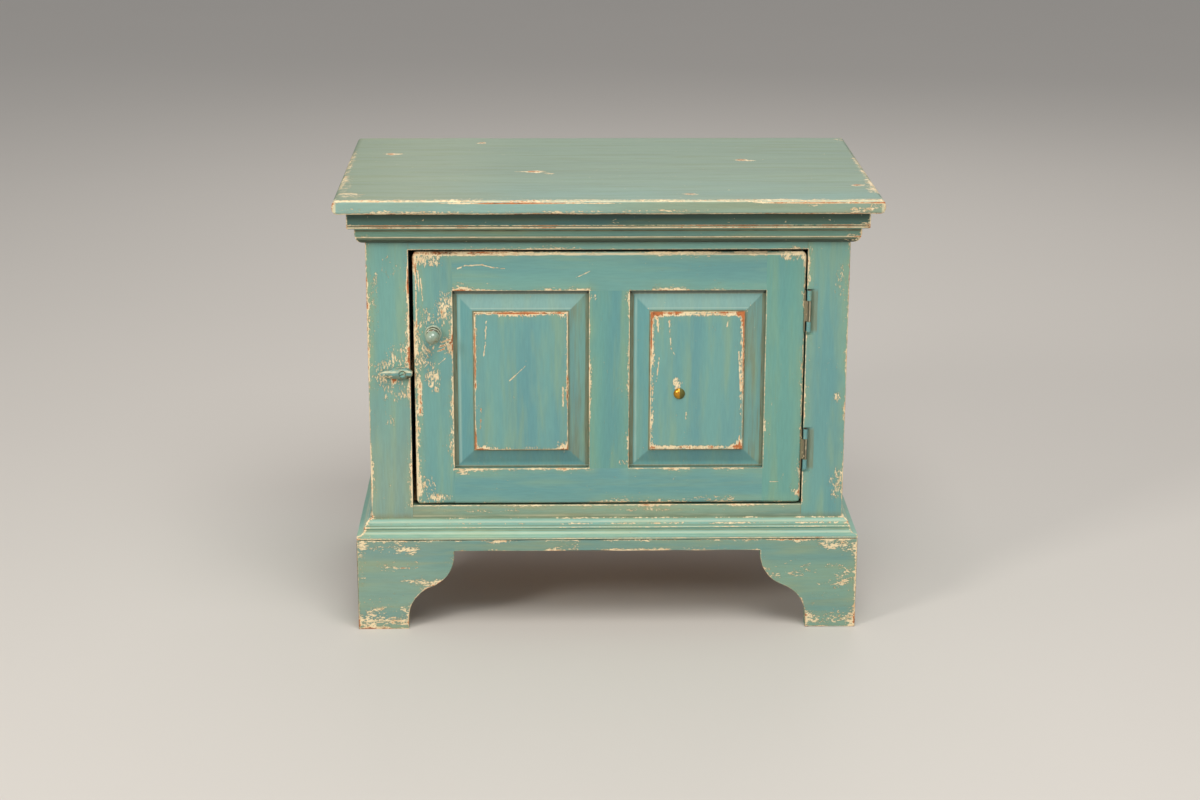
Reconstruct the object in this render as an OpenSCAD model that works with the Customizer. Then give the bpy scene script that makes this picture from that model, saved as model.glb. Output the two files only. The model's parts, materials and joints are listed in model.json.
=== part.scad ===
// Side cabinet: one framed door with two raised panels, a mitred crown and base moulding,
// and a plinth with ogee bracket feet. Millimetres, +Z up, +X to the right of someone who
// faces the door, -Y towards that person. The origin is on the floor, under the middle of the top board.

/* [Overall] */
// Width of the top board, left to right
top_width = 650; // [560:1:900]
// Depth of the top board, front to back
top_depth = 411; // [340:1:560]
// Height from the floor to the upper face of the top board
overall_height = 543; // [480:1:800]

/* [Top board] */
// Thickness of the top board
top_thickness = 17.5; // [14:0.5:30]
// Radius worn round the long edges of the top board
top_edge_r = 4; // [1:0.5:6.5]
// Radius of the top board's corners, seen from above
top_corner_r = 4; // [1:0.5:20]
// How far the top board stands out in front of the case
overhang_front = 36; // [30:1:60]
// How far the top board stands out past each side of the case
overhang_side = 36; // [22:1:60]
// How far the top board stands out behind the case
overhang_back = 12; // [0:1:40]

/* [Case] */
// Thickness of the side boards
side_thickness = 18; // [13:0.5:25]
// How far the case reaches down behind the plinth
case_drop = 12; // [4:1:13]
// Thickness of the face frame
frame_thickness = 21; // [17:0.5:26]
// Width of the face frame's uprights
frame_stile_w = 50.5; // [36:0.5:80]
// Radius worn round the front corners of the case
case_edge_r = 1.5; // [0.5:0.5:4]
// Height of the face frame's top rail
frame_top_rail_h = 49.8; // [43:0.1:70]
// Height of the face frame's bottom rail
frame_bottom_rail_h = 51; // [36:0.5:70]
// Length of the tenons that join the face frame
frame_tenon_l = 14; // [6:1:24]
// Thickness of the tenons that join the face frame
frame_tenon_t = 7; // [4:0.5:9]
// Shoulder at each edge of a face frame tenon
frame_tenon_shoulder = 8; // [3:1:14]

/* [Back] */
// Thickness of the back boards
back_thickness = 9; // [6:0.5:12]
// Number of upright boards in the back
back_boards = 4; // [2:1:4]
// Width of the half lap between two back boards
back_lap = 8; // [4:1:14]
// Room left beside each back board for the wood to move
back_gap = 1; // [0.5:0.5:3]
// Height of the rail behind the top of the back boards
back_rail_h = 50; // [30:1:80]
// Thickness of that rail
back_rail_t = 18; // [12:1:25]

/* [Inside] */
// Thickness of the cabinet's floor
floor_thickness = 18; // [12:1:25]
// Thickness of the shelf
shelf_thickness = 16; // [10:1:25]
// Height of the shelf's upper face above the cabinet's floor
shelf_height = 168; // [100:1:230]
// How far the shelf is set back behind the face frame
shelf_setback = 40; // [10:1:120]
// Play at each end of the shelf
shelf_play = 1; // [0.5:0.5:3]
// Width of the cleats under the shelf, the floor and the top
cleat_w = 18; // [12:1:24]
// Height of those cleats
cleat_h = 18; // [12:1:24]
// Length of the block that stops the door
stop_length = 80; // [40:5:160]
// Height of the block that stops the door
stop_h = 34; // [20:1:40]
// Thickness of the block that stops the door
stop_t = 15; // [8:1:20]
// How far the stop hangs below the face frame's top rail
stop_hang = 12; // [6:1:18]

/* [Door] */
// Thickness of the door frame
door_thickness = 20.5; // [17:0.5:20.5]
// Gap between the door and the face frame on the knob side
door_gap_left = 5; // [4:0.1:8]
// Gap between the door and the face frame on the hinge side
door_gap_right = 1.9; // [1.2:0.1:3]
// Gap above the door
door_gap_top = 2.8; // [1:0.1:5]
// Gap below the door
door_gap_bottom = 2.2; // [1:0.1:5]
// Width of the door's uprights
door_stile_w = 47; // [38:0.5:70]
// Height of the door's top rail
door_top_rail_h = 47.5; // [30:0.5:70]
// Height of the door's bottom rail
door_bottom_rail_h = 45; // [30:0.5:70]
// Width of the upright between the two panels
muntin_w = 49; // [30:0.5:70]
// Radius worn round the door's front edge
door_edge_r = 3; // [1:0.5:5]
// Radius of the door's corners, seen from the front
door_corner_r = 7; // [3:0.5:12]
// Depth of the groove that holds the panels
groove_depth = 8; // [5:0.5:12]
// Width of that groove
groove_w = 6.2; // [4:0.1:7]
// Depth from the door's face to the groove
groove_setback = 6.9; // [6:0.1:11]
// Clearance on each face of a tongue or tenon
joint_clearance = 0.1; // [0.05:0.05:0.3]

/* [Door panels] */
// Play between a panel's edge and the bottom of its groove
panel_play = 1.5; // [0.5:0.5:3]
// Flat margin round a panel, next to the door frame
panel_margin = 3.5; // [1:0.5:8]
// Width of a panel's bevelled border, from the door frame to the raised field
panel_border = 25.5; // [14:0.5:40]
// How much the bevel rises towards the raised field
panel_bevel_rise = 4; // [1:0.5:4.5]
// Height of the step at the edge of the raised field
panel_step = 2.6; // [1:0.1:3]

/* [Hinges] */
// Length of each hinge
hinge_length = 50.8; // [40:0.1:60]
// Length of the knuckle at each end of a hinge
hinge_end_knuckle = 12.6; // [8:0.1:16]
// Width of a hinge leaf behind its pin
hinge_leaf_w = 17; // [12:0.5:18]
// Thickness of a hinge leaf
hinge_leaf_t = 1.2; // [0.8:0.1:1.6]
// Outer radius of the hinge's barrel
hinge_barrel_r = 2.6; // [2.3:0.1:3.2]
// Radius of the hinge pin
hinge_pin_r = 1.3; // [0.9:0.05:1.35]
// Radial clearance of the hinge pin in its knuckles
hinge_pin_clearance = 0.05; // [0.02:0.01:0.1]
// Gap between two knuckles
knuckle_gap = 0.3; // [0.2:0.05:0.6]
// How far the pin's centre stands in front of the face frame
hinge_pin_forward = 0.6; // [0.5:0.1:2]
// Distance from the door's top to the middle of the upper hinge
hinge_inset_top = 73; // [40:1:100]
// Distance from the door's bottom to the middle of the lower hinge
hinge_inset_bottom = 69; // [40:1:100]
// Width of the sloped side of the recess round a barrel
hinge_recess_slope = 5.5; // [2:0.5:8]
// How far the recess reaches past the hinge's lower end
hinge_recess_below = 4; // [1:0.5:8]
// Spacing of the two screws in a leaf
hinge_screw_spacing = 32; // [24:1:34]
// Radius of a hinge screw's shank
hinge_screw_r = 1.4; // [1:0.1:1.6]
// Length of a hinge screw
hinge_screw_l = 14; // [8:1:20]

/* [Knob] */
// Radius of the knob's foot
knob_foot_r = 10.4; // [8:0.1:13]
// Thickness of the knob's foot
knob_foot_t = 3; // [2:0.5:5]
// Radius of the knob's neck
knob_neck_r = 6.4; // [5:0.1:8]
// Radius of the ring behind the knob's head
knob_ring_r = 8.4; // [6:0.1:10]
// Radius of the knob's head
knob_head_r = 9.2; // [7:0.1:12]
// How far the knob stands out from the door
knob_length = 28; // [25:0.5:29.5]
// Height of the knob above the door's bottom edge
knob_height = 216; // [100:1:240]
// Radius of the bolt through the knob
knob_bolt_r = 2; // [1.5:0.1:2.5]

/* [Turn button] */
// Length of the turn button from its screw to its tip
button_long = 27.3; // [22:0.1:32]
// Length of the turn button from its screw to its blunt end
button_tail = 12; // [9:0.1:12.5]
// Half the turn button's greatest width
button_half_w = 7.2; // [5.5:0.1:9]
// How far the turn button's full width reaches to each side of its screw
button_belly = 5.5; // [3:0.5:8]
// Half the turn button's width halfway from there to its tip
button_slim_half_w = 5.8; // [3.5:0.1:7.2]
// Half the turn button's width at its ends
button_end_half_w = 2.4; // [1.5:0.1:5]
// Thickness of the turn button
button_thickness = 8; // [5:0.5:12]
// Half the width of the flat along the turn button's whittled front
button_flat_half_w = 2.4; // [1:0.1:4]
// Depth of the whittled slopes beside that flat
button_slope_d = 2.8; // [0.5:0.1:3.5]
// Gap between the turn button and the face frame
button_gap = 0.3; // [0.2:0.05:0.5]
// Distance from the turn button's screw to the edge of the door opening
button_inset = 9; // [7:0.5:13]
// Height of the turn button above the door's bottom edge
button_height = 167; // [60:1:185]
// Radius of the turn button's screw
button_screw_r = 1.9; // [1.5:0.1:2.2]
// Radial clearance of that screw in the turn button
button_screw_clearance = 0.08; // [0.03:0.01:0.1]
// Width of the slot in that screw's head
button_slot_w = 1.2; // [0.8:0.1:1.8]
// Depth of that slot
button_slot_d = 0.9; // [0.5:0.1:1.2]
// Turn of that slot from level, as the screw was last driven
button_slot_turn = 22; // [0:1:90]

/* [Brass stud] */
// Radius of the brass stud's dome
stud_r = 7; // [4:0.1:9]
// Height of the brass stud's dome
stud_h = 4; // [2:0.1:6]
// Distance from the right panel's opening to the middle of the brass stud
stud_inset = 60.5; // [36:0.5:80]
// Height of the brass stud above the door's bottom edge
stud_height = 139.5; // [80:0.5:220]

/* [Crown moulding] */
// How far the crown moulding stands out from the case
crown_projection = 20; // [16:0.5:21.5]
// Height of the crown's flat fascia
fascia_h = 18.7; // [12:0.1:20]
// Radius of the bead under the fascia
crown_bead_r = 1.8; // [1:0.1:2.4]
// How far the flat below the bead stands out from the case
crown_flat_projection = 11.5; // [8:0.5:13]
// Height of that flat
crown_flat_h = 10.4; // [6:0.1:12]
// Radius of the round at the bottom of the crown
crown_round_r = 10.4; // [7:0.1:11]

/* [Base moulding] */
// Height of the base moulding
base_height = 23.1; // [22.5:0.1:30]
// Height of the flat at the bottom of the base moulding
base_flat_h = 5; // [3:0.1:6]
// Radius worn along the lower edge of that flat
base_edge_r = 1.2; // [0.5:0.1:2.5]
// Width of the ledge between that flat and the hollow
base_ledge = 2.6; // [1:0.1:4]
// Radius of the base moulding's hollow
base_cove_r = 6; // [4:0.1:7]
// Radius of the base moulding's bead
base_bead_r = 1.6; // [1:0.1:2]
// Radius of the round at the top of the base moulding
base_round_r = 8.4; // [7:0.1:10]

/* [Plinth] */
// Height of the plinth
plinth_height = 116; // [114:1:150]
// Thickness of the plinth boards
plinth_thickness = 18; // [15:0.5:22]
// Radius worn along the plinth's upper edge
plinth_edge_r = 2; // [0.5:0.5:3]
// Height of the plinth's straight lower edge above the floor
apron_height = 101.5; // [94:0.5:103]
// Width of a foot at the floor
foot_w = 62; // [50:1:90]
// How far the bracket's curve reaches in from the foot
bracket_reach = 57; // [40:1:60]
// Radius of the bracket's upper, outward curve
bracket_upper_r = 42; // [34:1:44]
// Radius of the bracket's lower, inward curve
bracket_lower_r = 45; // [34:1:47]
// Short upright above the bracket's curve
bracket_quirk = 6; // [1:0.5:8]
// Side of the corner blocks inside the plinth
corner_block_w = 32; // [20:1:44]
// Gap between the corner blocks and the floor
corner_block_lift = 4; // [2:1:20]

/* [Hidden] */
$fn = 96;

// Colours of the paint, the bare wood and the metal
paint = [0.47, 0.64, 0.58];
paint_dark = [0.31, 0.43, 0.36];
paint_pale = [0.6, 0.66, 0.57];
bare_wood = [0.72, 0.58, 0.4];
steel = [0.45, 0.42, 0.38];
brass = [0.8, 0.58, 0.22];

// A cut reaches this far past the face that it opens
past = 1;

// Planes and widths of the case
front_y = -top_depth / 2 + overhang_front;
rear_y = top_depth / 2 - overhang_back;
top_z = overall_height - top_thickness;
case_half = top_width / 2 - overhang_side;
case_z = plinth_height - case_drop;
case_h = top_z - case_z;
inner_half = case_half - side_thickness;
inner_front = front_y + frame_thickness;
inner_rear = rear_y - back_thickness;

// The door opening in the face frame
opening_half = case_half - frame_stile_w;
opening_z0 = case_z + frame_bottom_rail_h;
opening_z1 = top_z - frame_top_rail_h;

// The door's outline and the openings for its panels
door_x0 = -opening_half + door_gap_left;
door_x1 = opening_half - door_gap_right;
door_z0 = opening_z0 + door_gap_bottom;
door_z1 = opening_z1 - door_gap_top;
door_w = door_x1 - door_x0;
door_h = door_z1 - door_z0;
muntin_x0 = (door_x0 + door_x1 - muntin_w) / 2;
muntin_x1 = muntin_x0 + muntin_w;
panel_z0 = door_z0 + door_bottom_rail_h;
panel_z1 = door_z1 - door_top_rail_h;
stile_x0 = door_x0 + door_stile_w;
stile_x1 = door_x1 - door_stile_w;
groove_y = front_y + groove_setback;
tongue_y = groove_y + joint_clearance;
tongue_t = groove_w - 2 * joint_clearance;
tenon_l = groove_depth - joint_clearance;
tongue_l = groove_depth - panel_play;

// The hinges' axis and heights
hinge_x = opening_half + hinge_barrel_r;
hinge_y = front_y - hinge_pin_forward;
hinge_up_z = door_z1 - hinge_inset_top;
hinge_low_z = door_z0 + hinge_inset_bottom;
knuckle_bore_r = hinge_pin_r + hinge_pin_clearance;
mortise_clearance = 0.1;
leaf_y1 = hinge_y + hinge_leaf_w;
hinge_screw_y = (front_y + leaf_y1) / 2;
hinge_screw_head_r = 2 * hinge_screw_r;
hinge_screw_head_h = hinge_screw_r;

// The knob, the turn button and the brass stud
knob_x = door_x0 + door_stile_w / 2;
knob_z = door_z0 + knob_height;
button_x = -opening_half - button_inset;
button_z = door_z0 + button_height;
stud_x = muntin_x1 + stud_inset;
stud_z = door_z0 + stud_height;
field_y = tongue_y - panel_bevel_rise - panel_step;

// Heights inside the case
floor_z = opening_z0 - floor_thickness;
shelf_z = opening_z0 + shelf_height - shelf_thickness;

// Screw holes are wider than their screws by this much all round
hole_clearance = 0.1;

// A rectangle with exact round corners, centred on the origin
module rounded_rect(w, h, r) {
    square([w, h - 2 * r], center = true);
    square([w - 2 * r, h], center = true);
    for (sx = [-1, 1], sy = [-1, 1])
        translate([sx * (w / 2 - r), sy * (h / 2 - r)]) circle(r);
}

// A board from one corner to the other
module board(x0, x1, y0, y1, z0, z1)
    translate([x0, y0, z0]) cube([x1 - x0, y1 - y0, z1 - z0]);

// A drawing in (x, z), extruded backwards from y0 to y1
module upright(y0, y1)
    translate([0, y1, 0]) rotate([90, 0, 0]) linear_extrude(y1 - y0) children();

// A drawing in (y, z), extruded from x0 to x1
module sideways(x0, x1)
    translate([x0, 0, 0]) rotate([90, 0, 90]) linear_extrude(x1 - x0) children();

// A round bar along Y from y0 to y1
module bar_y(r, x, z, y0, y1)
    translate([x, y0, z]) rotate([-90, 0, 0]) cylinder(r = r, h = y1 - y0);

// A trim drawn in (projection, z) that runs across the front between its mitres
module front_run(projection)
    intersection() {
        translate([case_half + projection, front_y, 0]) rotate([90, 0, -90])
            linear_extrude(2 * (case_half + projection)) children();
        linear_extrude(overall_height) polygon([
            [-case_half, front_y], [case_half, front_y],
            [case_half + projection, front_y - projection],
            [-case_half - projection, front_y - projection]]);
    }

// The same trim along the right side, from its front mitre to the back
module right_run(projection)
    intersection() {
        translate([case_half, rear_y, 0]) rotate([90, 0, 0])
            linear_extrude(rear_y - front_y + projection) children();
        linear_extrude(overall_height) polygon([
            [case_half, front_y], [case_half, rear_y],
            [case_half + projection, rear_y],
            [case_half + projection, front_y - projection]]);
    }

// Top board, its cleats and their screws
top_screw_r = 2;
top_screw_l = 32;
top_screw_head_r = 4;
top_screw_head_h = 3;
top_screw_inset = 60;

module top_board()
    color(paint_pale) difference() {
        translate([0, 0, top_z]) intersection() {
            linear_extrude(top_thickness) rounded_rect(top_width, top_depth, top_corner_r);
            translate([0, 0, top_thickness / 2])
                sideways(-top_width / 2, top_width / 2) rounded_rect(top_depth, top_thickness, top_edge_r);
            translate([0, 0, top_thickness / 2])
                upright(-top_depth / 2, top_depth / 2) rounded_rect(top_width, top_thickness, top_edge_r);
        }
        top_screw_set(hole_clearance);
    }

// One wood screw that points up, with a countersunk head, widened by extra for a hole
module wood_screw(r, l, head_r, head_h, extra)
    rotate_extrude() polygon([
        [0, 0], [head_r + extra, 0], [r + extra, head_h], [r + extra, l - r],
        [extra, l + extra], [0, l + extra]]);

module top_screw_set(extra)
    for (sx = [-1, 1], y = [inner_front + top_screw_inset, inner_rear - back_rail_t - top_screw_inset])
        translate([sx * (inner_half - cleat_w / 2), y, top_z - cleat_h])
            wood_screw(top_screw_r, top_screw_l, top_screw_head_r, top_screw_head_h, extra);

module top_screws() color(steel) top_screw_set(0);

module top_cleat(side)
    color(bare_wood) difference() {
        mirror([side < 0 ? 1 : 0, 0, 0])
            board(inner_half - cleat_w, inner_half,
                inner_front, inner_rear - back_rail_t, top_z - cleat_h, top_z);
        top_screw_set(hole_clearance);
    }

// Crown moulding, drawn down from the top board: fascia, bead, flat and round
crown_bead_x = crown_projection - crown_bead_r;
crown_bead_z = top_z - fascia_h;
crown_soffit_z = crown_bead_z - crown_bead_r / 2;
crown_cove_r = (crown_bead_x - crown_flat_projection) / 2;
crown_cove_x = crown_flat_projection + crown_cove_r;
crown_cove_z = crown_soffit_z - crown_cove_r;
crown_flat_z = crown_soffit_z - crown_flat_h;
crown_round_x = crown_flat_projection - crown_round_r - crown_bead_r / 3;

module crown_profile() {
    translate([0, crown_bead_z]) square([crown_projection, fascia_h]);
    translate([0, crown_soffit_z]) square([crown_bead_x, fascia_h]);
    translate([crown_bead_x, crown_bead_z]) circle(crown_bead_r);
    difference() {
        translate([0, crown_cove_z]) square([crown_cove_x, crown_cove_r]);
        translate([crown_cove_x, crown_cove_z]) circle(crown_cove_r);
    }
    translate([0, crown_flat_z]) square([crown_flat_projection, crown_flat_h]);
    intersection() {
        translate([crown_round_x, crown_flat_z]) circle(crown_round_r);
        translate([0, crown_flat_z - crown_round_r]) square([crown_projection, crown_round_r]);
    }
}

module crown_moulding_front() color(paint_dark) front_run(crown_projection) crown_profile();
module crown_moulding_right() color(paint_dark) right_run(crown_projection) crown_profile();
module crown_moulding_left() mirror([1, 0, 0]) crown_moulding_right();

// Side boards, rebated behind for the back boards
back_rebate = side_thickness / 2;

module side_board_right()
    color(paint) difference() {
        board(inner_half, case_half, inner_front, rear_y, case_z, top_z);
        board(inner_half - past, inner_half + back_rebate,
            inner_rear, rear_y + past, case_z - past, top_z + past);
    }

module side_board_left() mirror([1, 0, 0]) side_board_right();

// Face frame: uprights with mortises, rails with tenons
tenon_y = front_y + (frame_thickness - frame_tenon_t) / 2;

module frame_tenon(z0, z1, extra)
    board(-opening_half - frame_tenon_l - extra, opening_half + frame_tenon_l + extra,
        tenon_y - extra, tenon_y + frame_tenon_t + extra,
        z0 + frame_tenon_shoulder - extra, z1 - frame_tenon_shoulder + extra);

module frame_upright()
    difference() {
        translate([0, 0, case_z]) linear_extrude(case_h) {
            translate([opening_half, front_y + case_edge_r])
                square([frame_stile_w, frame_thickness - case_edge_r]);
            translate([opening_half, front_y]) square([frame_stile_w - case_edge_r, case_edge_r]);
            translate([case_half - case_edge_r, front_y + case_edge_r]) circle(case_edge_r);
        }
        frame_tenon(case_z, opening_z0, joint_clearance);
        frame_tenon(opening_z1, top_z, joint_clearance);
    }

module frame_stile_left()
    color(paint) difference() {
        mirror([1, 0, 0]) frame_upright();
        turn_button_screw_body(hole_clearance);
    }

module frame_stile_right()
    color(paint) difference() {
        frame_upright();
        for (z = [hinge_low_z, hinge_up_z]) {
            hinge_recess(z);
            leaf_mortise(opening_half - past, opening_half + hinge_leaf_t, z);
        }
        hinge_screw_set(1, hole_clearance);
    }

module frame_rail(z0, z1) {
    color(paint) board(-opening_half, opening_half, front_y, inner_front, z0, z1);
    color(paint) frame_tenon(z0, z1, 0);
}

module frame_rail_top() frame_rail(opening_z1, top_z);
module frame_rail_bottom() frame_rail(case_z, opening_z0);

// Back: upright boards that lap each other, and the rail that they are nailed to
back_half = inner_half + back_rebate - joint_clearance;
back_pitch = 2 * back_half / back_boards;

module back_board(i) {
    x0 = -back_half + (i - 1) * back_pitch;
    x1 = x0 + back_pitch;
    mid_y = inner_rear + back_thickness / 2;
    lap0 = i > 1 ? back_lap : 0;
    lap1 = i < back_boards ? back_gap : 0;
    color(bare_wood) translate([0, 0, case_z]) linear_extrude(case_h) polygon([
        [x0, inner_rear], [x1 - lap1, inner_rear], [x1 - lap1, mid_y],
        [x1 - lap1, rear_y], [x0 + lap0, rear_y], [x0 + lap0, mid_y], [x0, mid_y]]);
}

module back_rail()
    color(bare_wood) board(-inner_half, inner_half,
        inner_rear - back_rail_t, inner_rear, top_z - back_rail_h, top_z);

// Floor, shelf and the cleats under them
module cabinet_floor()
    color(bare_wood) board(-inner_half, inner_half, inner_front, inner_rear, floor_z, opening_z0);

module shelf()
    color(bare_wood) board(-inner_half + shelf_play, inner_half - shelf_play,
        inner_front + shelf_setback, inner_rear - shelf_play, shelf_z, shelf_z + shelf_thickness);

module cleat(z)
    color(bare_wood) board(inner_half - cleat_w, inner_half, inner_front, inner_rear, z - cleat_h, z);

module shelf_cleat()
    color(bare_wood) board(inner_half - cleat_w, inner_half,
        inner_front + shelf_setback, inner_rear, shelf_z - cleat_h, shelf_z);

module door_stop()
    color(bare_wood) board(stile_x0, stile_x0 + stop_length, inner_front, inner_front + stop_t,
        opening_z1 - stop_hang, opening_z1 - stop_hang + stop_h);

// Base moulding, drawn up from the plinth: flat, hollow, bead and round
base_flat_z = plinth_height + base_edge_r;
base_cove_x = plinth_thickness - base_ledge;
base_cove_z = plinth_height + base_flat_h + base_cove_r;
base_bead_x = base_cove_x - base_cove_r - base_bead_r;
base_bead_z = base_cove_z + base_bead_r;
base_round_x = base_bead_x - base_round_r;
base_round_z = plinth_height + base_height - base_round_r;

module base_profile() {
    translate([0, plinth_height]) square([plinth_thickness - base_edge_r, base_flat_h]);
    translate([0, base_flat_z]) square([plinth_thickness, base_flat_h - base_edge_r]);
    translate([plinth_thickness - base_edge_r, base_flat_z]) circle(base_edge_r);
    difference() {
        translate([0, plinth_height]) square([base_cove_x, base_cove_z - plinth_height]);
        translate([base_cove_x, base_cove_z]) circle(base_cove_r);
    }
    translate([0, base_cove_z]) square([base_bead_x, 2 * base_bead_r]);
    translate([base_bead_x, base_bead_z]) circle(base_bead_r);
    intersection() {
        translate([base_round_x, base_round_z]) circle(base_round_r);
        translate([0, base_bead_z]) square(base_height);
    }
}

module base_moulding_front() color(paint_pale) front_run(plinth_thickness) base_profile();
module base_moulding_right() color(paint_pale) right_run(plinth_thickness) base_profile();
module base_moulding_left() mirror([1, 0, 0]) base_moulding_right();

// The opening between two bracket feet: half_w wide from its middle to a foot at the floor.
// Two tangent arcs make the ogee, outward above and inward below.
bracket_dx = bracket_upper_r + bracket_lower_r - bracket_reach;
bracket_dz = sqrt(pow(bracket_upper_r + bracket_lower_r, 2) - pow(bracket_dx, 2));
bracket_upper_z = apron_height - bracket_quirk;
bracket_lower_z = bracket_upper_z - bracket_dz;

module bracket_opening(half_w) {
    lower_x = half_w - bracket_lower_r;
    upper_x = lower_x + bracket_dx;
    for (side = [0, 1]) mirror([side, 0]) {
        translate([-past, -past]) square([half_w + past, bracket_lower_z + past]);
        translate([-past, -past]) square([half_w - bracket_reach + past, apron_height + past]);
        translate([lower_x, bracket_lower_z]) circle(bracket_lower_r);
        difference() {
            polygon([[0, bracket_lower_z], [lower_x, bracket_lower_z],
                [upper_x, bracket_upper_z], [0, bracket_upper_z]]);
            translate([upper_x, bracket_upper_z]) circle(bracket_upper_r);
        }
    }
}

// Plinth boards, with their worn upper edge
module plinth_profile() {
    square([plinth_thickness, plinth_height - plinth_edge_r]);
    square([plinth_thickness - plinth_edge_r, plinth_height]);
    translate([plinth_thickness - plinth_edge_r, plinth_height - plinth_edge_r]) circle(plinth_edge_r);
}

plinth_half = case_half + plinth_thickness;
plinth_front_y = front_y - plinth_thickness;
side_arch_y = (plinth_front_y + rear_y) / 2;
side_arch_half = (rear_y - plinth_front_y) / 2 - foot_w;

module plinth_front()
    color(paint) difference() {
        front_run(plinth_thickness) plinth_profile();
        upright(plinth_front_y - past, front_y + past) bracket_opening(plinth_half - foot_w);
    }

module plinth_right()
    color(paint) difference() {
        right_run(plinth_thickness) plinth_profile();
        translate([0, side_arch_y, 0]) sideways(case_half - past, plinth_half + past)
            bracket_opening(side_arch_half);
    }

module plinth_left() mirror([1, 0, 0]) plinth_right();

// Blocks glued into the corners of the plinth, under the case
corner_block_cut = corner_block_w / 3;

module corner_block(sx, y, sy)
    color(bare_wood) translate([sx * case_half, y, corner_block_lift])
        linear_extrude(case_z - corner_block_lift) polygon([
            [0, 0], [-sx * corner_block_w, 0],
            [-sx * corner_block_w, sy * (corner_block_w - corner_block_cut)],
            [-sx * (corner_block_w - corner_block_cut), sy * corner_block_w],
            [0, sy * corner_block_w]]);

// Rear feet: a short board across each rear corner, sawn to a slope
module rear_foot(sx)
    color(bare_wood) upright(rear_y - plinth_thickness, rear_y) polygon([
        [sx * case_half, 0], [sx * (case_half - foot_w / 2), 0],
        [sx * (case_half - foot_w), case_z], [sx * case_half, case_z]]);

// Hinges. The leaves lie in the edges of the frame and the door; the barrel lies in a recess.
module hinge_recess(z) {
    x0 = opening_half;
    x1 = hinge_x + hinge_barrel_r + knuckle_gap;
    y1 = hinge_y + hinge_barrel_r + knuckle_gap;
    translate([0, 0, z - hinge_length / 2 - hinge_recess_below])
        linear_extrude(hinge_length + hinge_recess_below + past + hinge_pin_head_h) polygon([
            [x0 - past, hinge_y - past], [x0 - past, y1], [x1, y1],
            [x1 + hinge_recess_slope, front_y], [x1 + hinge_recess_slope, hinge_y - past]]);
}

module leaf_mortise(x0, x1, z)
    board(x0, x1, front_y - past, leaf_y1 + mortise_clearance,
        z - hinge_length / 2 - mortise_clearance, z + hinge_length / 2 + mortise_clearance);

// Screws of both hinges: side 1 for the face frame, side -1 for the door
module hinge_screw_set(side, extra) {
    face_x = side > 0 ? opening_half : door_x1;
    for (z = [hinge_low_z, hinge_up_z], dz = [-0.5, 0.5] * hinge_screw_spacing)
        translate([face_x, hinge_screw_y, z + dz]) rotate([0, side * 90, 0])
            wood_screw(hinge_screw_r, hinge_screw_l, hinge_screw_head_r, hinge_screw_head_h, extra);
}

hinge_pin_head_h = 0.8;
leaf_relief = hinge_barrel_r + knuckle_gap;

module knuckle(z0, z1)
    translate([hinge_x, hinge_y, z0]) cylinder(r = hinge_barrel_r, h = z1 - z0);

module pin_bore(z)
    translate([hinge_x, hinge_y, z - hinge_length / 2 - past])
        cylinder(r = knuckle_bore_r, h = hinge_length + 2 * past);

module frame_leaf(z) {
    z0 = z - hinge_length / 2;
    z1 = z + hinge_length / 2;
    color(steel) difference() {
        union() {
            board(opening_half, opening_half + hinge_leaf_t, hinge_y, leaf_y1, z0, z1);
            knuckle(z0, z1);
        }
        board(opening_half - past, hinge_x + hinge_barrel_r + past,
            hinge_y - leaf_relief, hinge_y + leaf_relief, z0 + hinge_end_knuckle, z1 - hinge_end_knuckle);
        pin_bore(z);
        hinge_screw_set(1, hole_clearance);
    }
}

module door_leaf(z) {
    z0 = z - hinge_length / 2;
    z1 = z + hinge_length / 2;
    middle0 = z0 + hinge_end_knuckle + knuckle_gap;
    middle1 = z1 - hinge_end_knuckle - knuckle_gap;
    color(steel) difference() {
        union() {
            board(door_x1 - hinge_leaf_t, door_x1, hinge_y - hinge_leaf_t / 2, leaf_y1, z0, z1);
            board(door_x1 - hinge_leaf_t, hinge_x, hinge_y - hinge_leaf_t / 2, hinge_y + hinge_leaf_t / 2,
                middle0, middle1);
            knuckle(middle0, middle1);
        }
        pin_bore(z);
        hinge_screw_set(-1, hole_clearance);
    }
}

module hinge_pin(z)
    color(steel) translate([hinge_x, hinge_y, z - hinge_length / 2]) {
        cylinder(r = hinge_pin_r, h = hinge_length + hinge_pin_head_h);
        translate([0, 0, hinge_length]) cylinder(r = hinge_barrel_r - knuckle_gap, h = hinge_pin_head_h);
    }

module hinge_frame_leaf_upper() frame_leaf(hinge_up_z);
module hinge_frame_leaf_lower() frame_leaf(hinge_low_z);
module hinge_door_leaf_upper() door_leaf(hinge_up_z);
module hinge_door_leaf_lower() door_leaf(hinge_low_z);
module hinge_pin_upper() hinge_pin(hinge_up_z);
module hinge_pin_lower() hinge_pin(hinge_low_z);
module hinge_frame_screws() color(steel) hinge_screw_set(1, 0);
module hinge_door_screws() color(steel) hinge_screw_set(-1, 0);

// Turn button: a carved bar that turns on one screw. It is drawn as it lies when latched,
// tip to the right over the door, and stored half a turn round, clear of the door.
button_back_y = front_y - button_gap;
button_front_y = button_back_y - button_thickness;
button_slim_x = (button_belly + button_long) / 2;
button_slope_y = button_front_y + button_slope_d;
button_screw_head_r = 3.6;
button_screw_head_h = 2.2;
button_screw_l = 24;

// The whittled outline is drawn above the axis and mirrored below it
button_upper = [[-button_tail, button_end_half_w], [-button_belly, button_half_w],
    [button_belly, button_half_w], [button_slim_x, button_slim_half_w], [button_long, button_end_half_w]];
button_outline = concat(button_upper, [for (i = [len(button_upper) - 1:-1:0])
    [button_upper[i][0], -button_upper[i][1]]]);

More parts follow.
